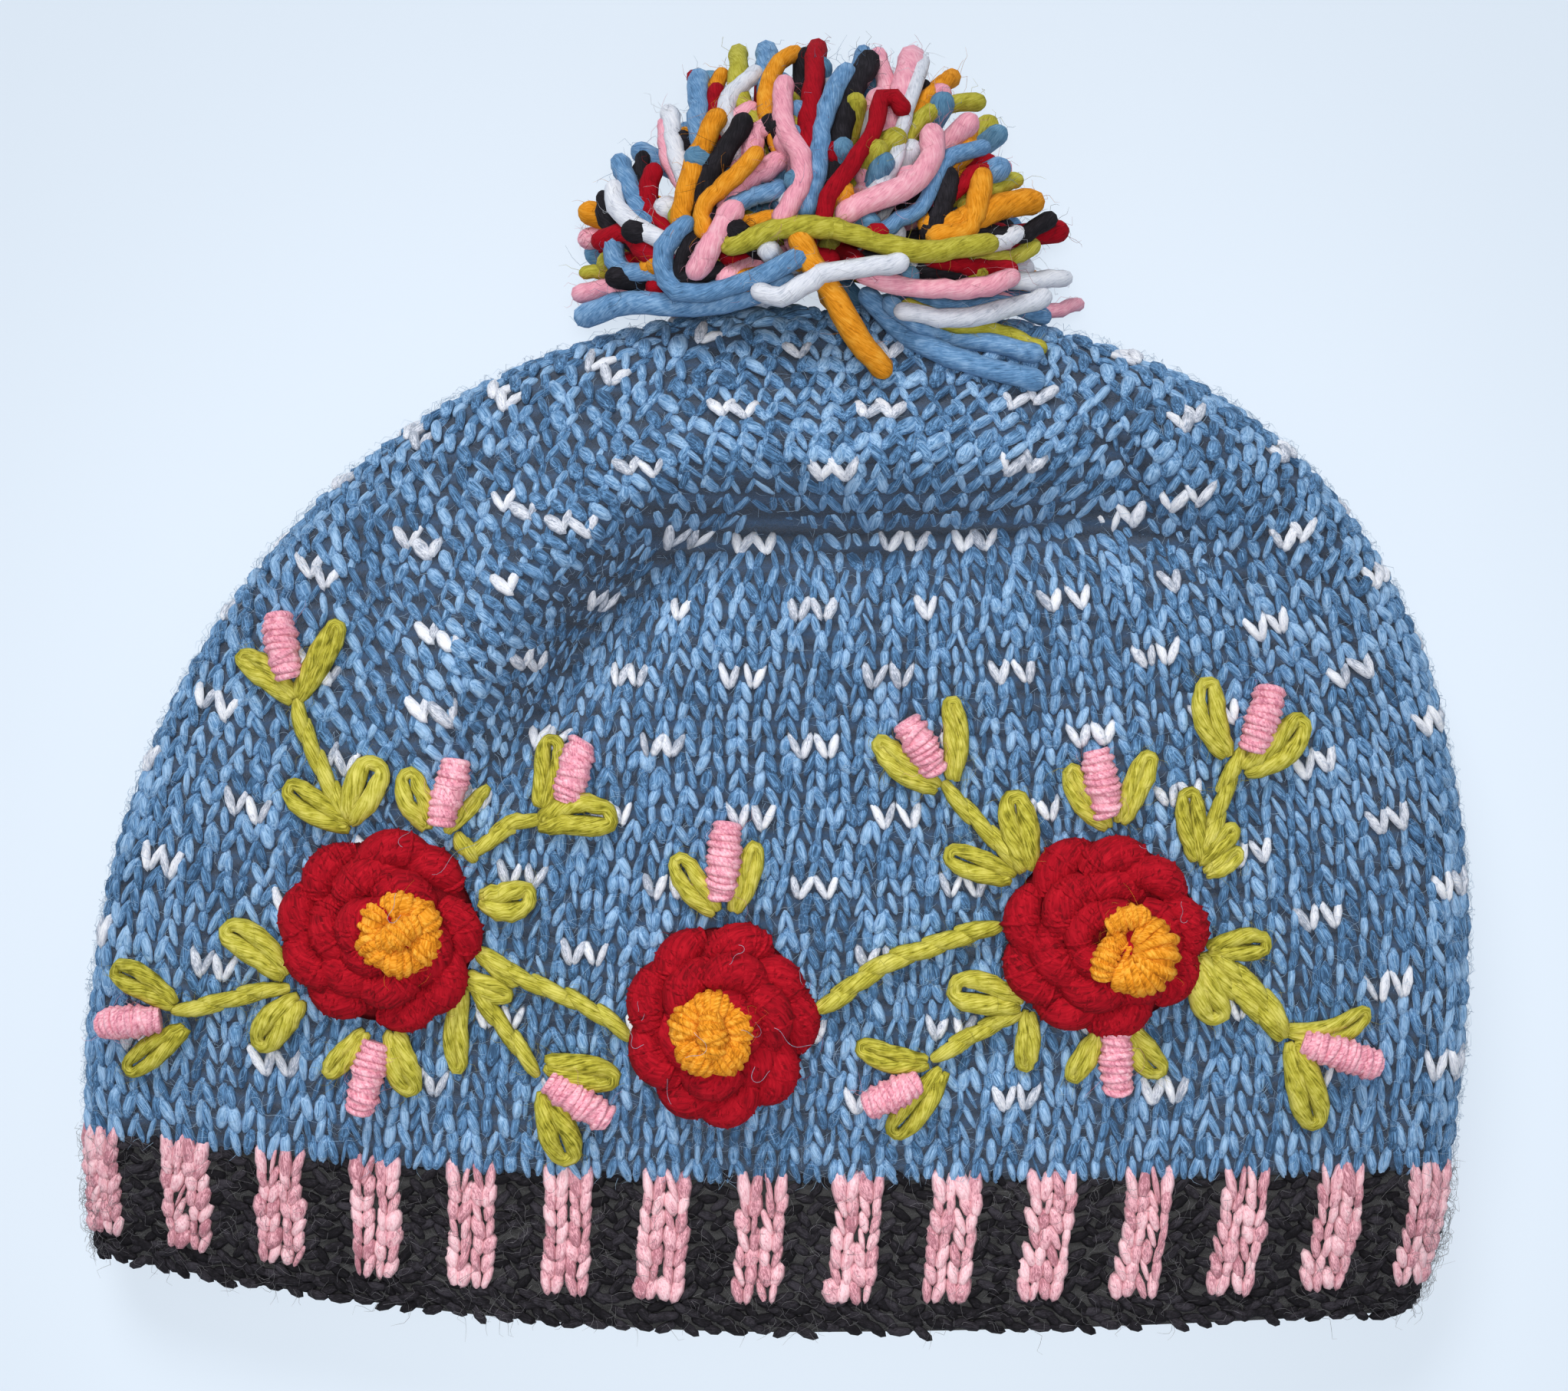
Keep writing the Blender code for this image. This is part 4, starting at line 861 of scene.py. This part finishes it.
def roseBed(name, middle, rose):
    # the felted wool that the petals sit on
    look, points = roseLook, []
    count, rings = look["bedPoints"], look["bedRings"]
    for share in np.linspace(1, 0, rings + 1)[:-1]:
        for turn in 2 * math.pi * np.arange(count) / count:
            x = middle[0] + rose["wide"] * look["bedReach"] * share * math.cos(turn)
            y = middle[1] + rose["high"] * look["bedReach"] * share * math.sin(turn)
            points.append((x, y, seat(x, y)[0] + look["bedLift"] + look["bedRise"] * (1 - share ** 2.4)))
    points.append((*middle, seat(*middle)[0] + look["bedLift"] + look["bedRise"]))
    faces = ringFaces(rings, count, ((rings - 1, len(points) - 1),)) + [tuple(reversed(range(count)))]
    mesh = newMesh(name, points, faces, woolMaterial(look["wool"]))
    grain = mesh.attributes.new("grain", "FLOAT_VECTOR", "POINT")
    grain.data.foreach_set("vector", np.array(points, np.float32).ravel())
    mesh.shade_smooth()
    return link(name, mesh)


def petal(middle, rose, ring, number, start, chance):
    # a short coil that lies along its ring, thickest in its middle
    turn = start + 2 * math.pi * number / ring["petals"] + chance.normal(0, 0.09)
    sweep = np.linspace(-1, 1, 12)
    bow = 1 + ring["bow"] * np.cos(sweep * math.pi / 2) * 1.6 + chance.normal(0, 0.04) - 0.09 * sweep
    turn, reach = turn + sweep * (math.pi / ring["petals"] * ring["overlap"]), ring["radius"] * bow
    plan = middle + np.stack([np.cos(turn) * rose["wide"] * reach, np.sin(turn) * rose["high"] * reach], axis=-1)
    lift = ring["high"] + 0.8 * mm * sweep + chance.normal(0, 0.7 * mm) - 1.2 * mm * sweep ** 2
    return laid(plan, lift), ring["thick"] / 2 * (0.30 + 0.70 * np.cos(sweep * 1.2))


def ringKnots(lumps):
    # short knots end to end round a ring, with one more laid across the top
    look, half = centreRing, 0.87 * math.pi / lumps
    middles = [2 * math.pi * lump / lumps for lump in range(lumps)]
    return [(look["width"], look["high"], [(look["reach"] * math.cos(turn), look["reach"] * math.sin(turn))
             for turn in np.linspace(middle - half, middle + half, 4)]) for middle in middles] + [look["top"]]


def makeRoses():
    chance = np.random.default_rng(roseLook["seed"])
    for name, rose in roses.items():
        middle = spot(rose["across"], rose["up"])
        petals = []
        for ring in roseRings:
            start = chance.random() * 6
            petals += [petal(middle, rose, ring, number, start, chance) for number in range(ring["petals"])]
        wrapPieces("rose_" + name, petals, roseLook, chance, roseBed("roseBed_" + name, middle, rose))
        z = seat(*middle)[0] + centreLook["lift"]
        cosine, sine = math.cos(rose["tilt"]), math.sin(rose["tilt"])
        sweep, knots = np.linspace(-1, 1, 16), []
        for width, high, stops in ringKnots(rose["lumps"]) if rose["lumps"] else centreCoil:
            flat = smoothLine(np.array(stops) * mm @ np.array([[cosine, sine], [-sine, cosine]]), 16)
            flat = flat + (middle + np.array(rose["shift"]))
            level = z + high * mm - 1.0 * mm * sweep ** 2 + chance.normal(0, 0.2 * mm)
            knots.append((np.column_stack([flat, level]), width * mm / 2 * (0.66 + 0.34 * np.cos(sweep * 1.3))))
        wrapPieces("rose_centre_" + name, knots, centreLook, chance)


# Pompom

pompom = dict(tie=(7.2 * mm, 105 * mm, 26 * mm), reach=(45 * mm, 37 * mm, 30 * mm), yarn=4.3 * mm, fillers=215, seed=61)
laidStrands = (  # wool, width in mm, height as a share of the ball's, and where it runs in mm, its free end first
    ("green", 3.3, 0.8, ((-7, 142), (-7, 134), (-4, 127))),
    ("blue", 3.6, 0.78, ((-2, 142), (-2, 135), (-1, 127))),
    ("yellow", 3.0, 0.84, ((3, 141), (-1, 137), (-2, 130), (1, 121))),
    ("red", 3.6, 0.92, ((7, 142), (6, 131), (5, 121), (6, 113))),
    ("blue", 3.3, 0.95, ((12, 137), (8, 128), (7, 119), (5, 112))),
    ("blue", 3.0, 0.8, ((15, 141), (14, 136), (11, 127))),
    ("charcoal", 3.9, 0.88, ((16, 139), (13, 133), (11, 125), (9, 116))),
    ("budPink", 3.0, 0.74, ((18, 141), (19, 134), (16, 124))),
    ("budPink", 4.5, 0.84, ((24, 141), (23, 136), (19, 127), (16, 118))),
    ("white", 2.4, 0.9, ((26, 140), (22, 127), (20, 119), (16, 114))),
    ("red", 3.0, 0.99, ((22, 130), (20, 132), (18, 131), (17, 126), (14, 121), (9, 114), (8, 109))),
    ("yellow", 3.0, 0.8, ((31, 137), (27, 133), (24, 128))),
    ("green", 3.0, 0.84, ((35, 132), (30, 131), (25, 128), (21, 122))),
    ("yellow", 3.0, 0.76, ((34, 127), (33, 122), (28, 118))),
    ("blue", 2.7, 0.9, ((36, 123), (30, 121), (27, 116), (25, 112), (18, 108))),
    ("red", 2.7, 0.86, ((38, 119), (35, 119), (32, 116), (28, 113))),
    ("yellow", 3.6, 0.94, ((36, 118), (35, 113), (33, 108), (28, 107))),
    ("yellow", 4.5, 0.9, ((45, 114), (40, 113), (33, 110), (27, 109))),
    ("green", 2.7, 0.8, ((42, 118), (38, 116), (33, 113))),
    ("charcoal", 3.0, 0.84, ((48, 111), (43, 108), (35, 108), (28, 108))),
    ("white", 3.0, 0.86, ((42, 108), (37, 106), (29, 106))),
    ("green", 2.7, 0.78, ((45, 106), (41, 104), (34, 104))),
    ("red", 2.7, 0.84, ((41, 102), (35, 102), (27, 103))),
    ("white", 3.0, 0.7, ((51, 101), (42, 100), (34, 101))),
    ("budPink", 2.4, 0.62, ((54, 97), (48, 95), (39, 97))),
    ("charcoal", 3.0, 0.8, ((34, 101), (23, 102), (16, 104))),
    ("green", 3.6, 1.02, ((10, 108), (16, 106), (26, 104), (37, 106))),
    ("green", 3.6, 1.02, ((9, 108), (1, 108), (-8, 105))),
    ("white", 3.3, 1.06, ((21, 102), (14, 101), (8, 100), (1, 96), (-3, 97))),
    ("budPink", 3.3, 0.98, ((41, 100), (34, 98), (23, 98), (15, 100))),
    ("white", 3.3, 0.9, ((47, 97), (37, 94), (29, 93), (22, 94))),
    ("green", 2.7, 0.85, ((46, 88), (39, 91), (31, 92), (23, 95))),
    ("blue", 3.3, 0.8, ((45, 87), (36, 89), (27, 91), (20, 95))),
    ("blue", 3.0, 0.75, ((47, 94), (40, 96), (33, 95), (24, 97))),
    ("blue", 3.6, 0.7, ((45, 82), (31, 86), (22, 91), (16, 97))),
    ("yellow", 4.0, 1.02, ((4, 106), (6, 102), (10, 96), (14, 89), (18, 84))),
    ("budPink", 4.2, 0.97, ((27, 125), (27, 121), (23, 116), (16, 113), (12, 111))),
    ("charcoal", 3.6, 0.9, ((30, 118), (29, 113), (27, 108))),
    ("budPink", 3.5, 1, ((1, 134), (1, 127), (4, 121), (4, 116), (1, 110))),
    ("yellow", 3.6, 0.98, ((-11, 128), (-14, 121), (-16, 115), (-17, 110))),
    ("charcoal", 3.6, 0.95, ((-6, 127), (-10, 121), (-13, 115), (-12, 110))),
    ("yellow", 3.0, 1, ((-4, 121), (-9, 116), (-13, 112), (-13, 108))),
    ("budPink", 3.6, 0.88, ((-0, 120), (-4, 118), (-9, 113))),
    ("blue", 3.0, 0.92, ((-0, 115), (-4, 114), (-8, 112))),
    ("yellow", 3.0, 0.9, ((-0, 110), (-7, 109), (-11, 107))),
    ("budPink", 3.9, 1.04, ((-8, 111), (-11, 106), (-14, 101))),
    ("blue", 3.3, 1.02, ((-16, 109), (-20, 105), (-19, 99), (-16, 97), (-8, 98), (4, 103))),
    ("charcoal", 3.0, 0.97, ((-15, 107), (-17, 100), (-11, 101))),
    ("blue", 3.9, 0.92, ((-34, 94), (-26, 96), (-18, 95), (-9, 96), (1, 99))),
    ("white", 3.3, 0.94, ((-29, 116), (-28, 112), (-23, 108), (-19, 106), (-13, 104))),
    ("blue", 3.3, 0.86, ((-28, 121), (-26, 116), (-23, 110))),
    ("charcoal", 2.7, 0.76, ((-31, 115), (-30, 110), (-25, 106))),
    ("red", 3.6, 0.88, ((-31, 107), (-26, 108), (-22, 104), (-14, 103))),
    ("red", 3.3, 0.84, ((-22, 119), (-23, 113), (-19, 107))),
    ("charcoal", 2.7, 0.72, ((-24, 122), (-24, 118), (-20, 110))),
    ("white", 3.0, 0.86, ((-19, 130), (-18, 123), (-16, 116))),
    ("budPink", 3.0, 0.8, ((-20, 128), (-19, 121), (-15, 114))),
    ("blue", 3.6, 0.84, ((-14, 136), (-14, 127), (-12, 118))),
    ("red", 2.4, 0.74, ((-15, 137), (-14, 133), (-11, 122))),
    ("yellow", 2.7, 0.76, ((-10, 137), (-11, 133), (-8, 122))),
    ("red", 2.7, 0.8, ((-11, 134), (-11, 130), (-8, 121))),
    ("white", 3.0, 0.86, ((-4, 137), (-9, 131), (-8, 122))),
    ("budPink", 3.3, 0.82, ((-5, 130), (-8, 127), (-7, 120))),
    ("budPink", 3.3, 0.86, ((-1, 127), (-4, 125), (-4, 118))),
    ("blue", 3.3, 0.86, ((-29, 107), (-28, 102), (-20, 101), (-10, 101))),
    ("green", 2.4, 0.62, ((-34, 102), (-30, 102), (-20, 102))),
    ("budPink", 3.0, 0.72, ((-35, 98), (-30, 99), (-27, 98), (-17, 99))),
    ("red", 3.0, 0.9, ((4, 108), (6, 104), (9, 103))),
)


def ended(path, radii):
    # blunt felted ends
    steps, shrink = np.array([0.45, 0.8, 1.0]), np.array([0.88, 0.58, 0.18])
    before = path[0] + np.outer((steps * radii[0])[::-1], unit(path[0] - path[1]))
    after = path[-1] + np.outer(steps * radii[-1], unit(path[-1] - path[-2]))
    return np.concatenate([before, path, after]), np.concatenate([radii[0] * shrink[::-1], radii, radii[-1] * shrink])


def ballHeight(x, y, share):
    # height of the ball's surface at a place, times a share
    tie, reach = np.array(pompom["tie"]), np.array(pompom["reach"])
    flat = ((x - tie[0]) / (reach[0] * 1.06)) ** 2 + ((y - tie[1]) / (reach[1] * 1.04)) ** 2
    return tie[2] + reach[2] * share * math.sqrt(max(0.0, 1 - flat)) - 6 * mm * (1 - share)


def makePompom():
    chance = np.random.default_rng(pompom["seed"])
    tie, reach = np.array(pompom["tie"]), np.array(pompom["reach"])
    byWool = {wool: [] for wool in woolColours if wool not in ("hemPinkWool", "greyWool", "paleBlueWool")}
    for wool, width, share, stops in laidStrands:
        radius = width * mm * 0.55
        flat = smoothLine(np.array(stops) * mm, 14)
        path = []
        for x, y in flat:
            z = ballHeight(x, y, share) - radius
            if y < 97 * mm:
                z = max(z, seat(x, y)[0] + radius * 0.9)
            path.append((x, y, max(z, radius)))
        path = np.array(path) + chance.normal(0, 0.12 * mm, (14, 3))
        radii = radius * (1 + 0.05 * np.sin(np.linspace(0, 9, 14) + chance.random() * 6) + chance.normal(0, 0.02, 14))
        byWool[wool + "Wool"].append(ended(path, radii))
    wools = list(byWool)
    made = 0
    while made < pompom["fillers"]:
        way = unit(chance.normal(0, 1, 3))
        if way[1] < -0.22:
            continue
        tip = tie + way / math.sqrt(((way / reach) ** 2).sum()) * chance.uniform(0.72, 0.98)
        tip[1] = max(tip[1], 98.5 * mm)
        bowed = (tie + tip) / 2 + chance.normal(0, 2.0 * mm, 3)
        path = smoothLine([tie + way * 3 * mm, bowed, tip], 9)
        radii = pompom["yarn"] / 2 * chance.uniform(0.9, 1.08) * np.linspace(0.8, 1, 9)
        path[:, 2] = np.maximum(path[:, 2], pompom["yarn"] / 2)
        byWool[wools[int(chance.integers(len(wools)))]].append(ended(path, radii))
        made += 1
    for number, (wool, strands) in enumerate(byWool.items()):
        fuzzOn[wool] += [(path, radii) for path, radii in strands if path[-1][2] > 8 * mm]
        settle(sweepStrands("pompom" + wool[0].upper() + wool[1:], strands, wool, 8, 7 + number, True), "mixed_wool",
               *(["pompom"] if number == 0 else []))


# Loose fibres: every yarn sheds fine curled hairs that soften its edge

fuzz = dict(front=9600, back=700, hem=2600, outline=0.20, thickness=0.075 * mm, length=(1.0 * mm, 3.2 * mm),
            lift=1.0 * mm, lowest=0.08 * mm, hemGrow=1.5, strandGrow=1.35, seed=71)
strandHairs = dict(green=1500, red=800, budPink=900, yellow=600, white=600, charcoal=600, blue=600, petrol=300)
hairSlots = dict(green="green_wool", red="red_wool", budPink="pink_wool", yellow="yellow_wool")
strays = dict(count=170, x=(-110, 110), y=(-80, 90), length=(5 * mm, 12 * mm), curl=0.9, radius=0.04 * mm, points=13)


def hairs(place, out, lie, chance, points=3, grow=1.0):
    # curled hairs that leave a surface at place, run along lie and rise towards out
    across, many = unit(np.cross(out, lie)), len(place)
    length = chance.uniform(*fuzz["length"], many)[:, None] * grow
    curl, wave = chance.normal(0, 0.45, (many, 1)), chance.uniform(3, 7, (many, 1))
    rise = fuzz["lift"] * grow * chance.uniform(0.25, 1.3, (many, 1)) ** 1.5
    stops, ripple = [], 0.22 if points > 3 else 0
    for s in np.linspace(0, 1, points):
        aside = curl * s ** 2 + ripple * np.sin(wave * s)
        lifted = place - out * 0.1 * mm + out * rise * math.sin(s * 2.5)
        stops.append(lifted + lie * length * s + across * length * aside)
    paths = np.stack(stops, axis=1)
    paths[:, :, 2] = np.maximum(paths[:, :, 2], fuzz["lowest"])
    taper = np.interp(np.linspace(0, 1, points), (0, 0.5, 1), (1.0, 0.9, 0.35)) * fuzz["thickness"] / 2
    return [(path, taper) for path in paths]


def topOf(x, y):
    # height of the embroidered front at a place
    best = -math.inf
    for tree in frontTrees:
        hit = tree.ray_cast(Vector((x, y, 1.0)), Vector((0, 0, -1)))[0]
        best = max(best, hit.z if hit is not None else -math.inf)
    return best


def looseHairs(chance):
    # long single hairs that lie across the embroidery
    made, count = [], strays["count"]
    step = np.linspace(0, 1, strays["points"])
    starts = np.column_stack([chance.uniform(*strays["x"], count) * mm, chance.uniform(*strays["y"], count) * mm])
    angles, lengths = chance.uniform(0, 2 * math.pi, count), chance.uniform(*strays["length"], count)
    for start, angle, length in zip(starts, angles, lengths):
        bend, loop = chance.normal(0, 1.6), chance.uniform(4, 9)
        heading = angle + bend * step + strays["curl"] * np.sin(step * loop)
        plan = start + np.cumsum(np.column_stack([np.cos(heading), np.sin(heading)]), axis=0) * length / len(step)
        tops = [topOf(*p) for p in plan]
        if math.isinf(tops[0]) or math.isinf(tops[-1]):
            continue
        rise = np.pad(np.maximum(tops, tops[0] - 2 * mm), 2, "edge")
        rise = np.convolve(rise, np.ones(5) / 5, "valid") + (0.5 + 0.5 * np.sin(step * 5 + bend)) * mm
        made.append((np.column_stack([plan, rise]), np.full(len(step), strays["radius"])))
    return made


def makeFuzz():
    chance = np.random.default_rng(fuzz["seed"])
    body, hemSkin = Skin(0.0, 0.985), Skin(-1.0, 0.0, 40, 960)
    pieces = []
    for name, skin, count, turns, wool, slot in (
            ("blueFibresFront", body, fuzz["front"], (0.0, 0.5), "paleBlueWool", "blue_wool"),
            ("blueFibresBack", body, fuzz["back"], (0.5, 1.0), "paleBlueWool", "blue_wool"),
            ("greyFibresHem", hemSkin, fuzz["hem"], (0.0, 1.0), "greyWool", "charcoal_wool")):
        onHem = skin is hemSkin
        share = chance.uniform(skin.low, skin.high, count) if onHem else 1 - np.sqrt(chance.uniform(0.0, 1, count))
        turn = chance.uniform(*turns, count)
        if turns[0] == 0.0:  # more of them stand out along the outline
            chosen = chance.random(count) < fuzz["outline"]
            flank = (0.5 * chance.integers(0, 2, count) + chance.normal(0, 0.012, count)) % 1.0
            turn = np.where(chosen, flank, turn)
        place, around, up, out, _ = skin.frames(np.clip(share, skin.low, skin.high), turn, 0.02)
        angle = chance.uniform(0, 2 * math.pi, count)[:, None]
        lie = around * np.cos(angle) + up * np.sin(angle)
        made = hairs(place, out, lie, chance, 5, fuzz["hemGrow"]) if onHem else hairs(place, out, lie, chance)
        pieces.append((name, made, wool, slot))
    for wool, count in strandHairs.items():
        sources, found = fuzzOn[wool + "Wool"], []
        lengths = np.array([walkedAlong(path)[-1] for path, _ in sources])
        for k in chance.choice(len(sources), count, p=lengths / lengths.sum()):
            path, radii = sources[k]
            i = int(chance.integers(1, len(path) - 1))
            ahead = unit(path[i + 1] - path[i - 1])
            aside = unit(np.cross(ahead, chance.normal(0, 1, 3)))
            aside = -aside if aside[2] < -0.2 else aside  # few hang below
            lie = unit(ahead * chance.choice([-1, 1]) + chance.normal(0, 0.5, 3))
            found.append((path[i] + aside * radii[i], aside, lie))
        place, out, lie = (np.array(x) for x in zip(*found))
        pieces.append((wool + "Fibres", hairs(place, out, lie, chance, 4, fuzz["strandGrow"]), wool + "Wool",
                       hairSlots.get(wool, "mixed_wool")))
    pieces.append(("strayHairs", looseHairs(chance), "paleBlueWool", "blue_wool"))
    for number, (name, strands, wool, slot) in enumerate(pieces):
        settle(sweepStrands(name, strands, wool, 3, 80 + number), slot)


# Floor, light and camera

view = dict(lens=135.0, sensor=36.0, frameWidth=282.07 * mm, middle=(1.1 * mm, 26.7 * mm), level=20 * mm)
table = dict(half=1.6, colour="#818890", roughness=0.6, glow="#dfebf7", glowStrength=0.71)
room = dict(colour="#e6eefb", strength=0.32)
suns = dict(windowLight=dict(toward=(-0.26, 0.80, 0.78), spread=0.45, power=1.8),
            fillLight=dict(toward=(0.30, -0.40, 1.0), spread=1.4, power=0.35))
frontLamp = dict(place=(0.0, -0.016, 1.0), power=84.0, cone=13.0, edge=1.0, size=0.15)


def makeStage():
    # pale matt laminate, lit a little from within, so that shadows on it stay faint
    half = table["half"]
    material, _, _ = newMaterial("paleLaminate", {
        "Base Color": linear(table["colour"]), "Roughness": table["roughness"],
        "Emission Color": linear(table["glow"]), "Emission Strength": table["glowStrength"]})
    corners = [(-half, -half, 0), (half, -half, 0), (half, half, 0), (-half, half, 0)]
    floor = link("paleTable", newMesh("paleTable", corners, [(0, 1, 2, 3)], material))
    world = bpy.data.worlds.new("paleRoom")
    bpy.context.scene.world = world
    world.use_nodes = True
    background = world.node_tree.nodes["Background"].inputs
    background["Color"].default_value, background["Strength"].default_value = linear(room["colour"]), room["strength"]
    for name, sun in suns.items():
        lamp = bpy.data.lights.new(name, "SUN")
        lamp.angle, lamp.energy = sun["spread"], sun["power"]
        thing = link(name, lamp)
        thing.location = sun["toward"]
        thing.rotation_euler = (-Vector(sun["toward"])).to_track_quat("-Z", "Y").to_euler()
    lamp = bpy.data.lights.new("frontLight", "SPOT")
    lamp.energy, lamp.spot_size = frontLamp["power"], math.radians(frontLamp["cone"])
    lamp.spot_blend, lamp.shadow_soft_size = frontLamp["edge"], frontLamp["size"]
    link("frontLight", lamp).location = frontLamp["place"]
    camera = bpy.data.cameras.new("camera")
    camera.lens, camera.sensor_width = view["lens"], view["sensor"]
    camera.clip_start, camera.clip_end = 0.05, 10.0
    thing = link("camera", camera)
    thing.location = (*view["middle"], view["level"] + view["frameWidth"] / view["sensor"] * view["lens"])
    bpy.context.scene.camera = thing
    bpy.context.scene.view_settings.view_transform = "Standard"


makeStage()
makeGround()
say("ground done")
makeBody()
makeHem()
makeSprigs()
makeBuds()
makeRoses()
makePompom()
makeFuzz()
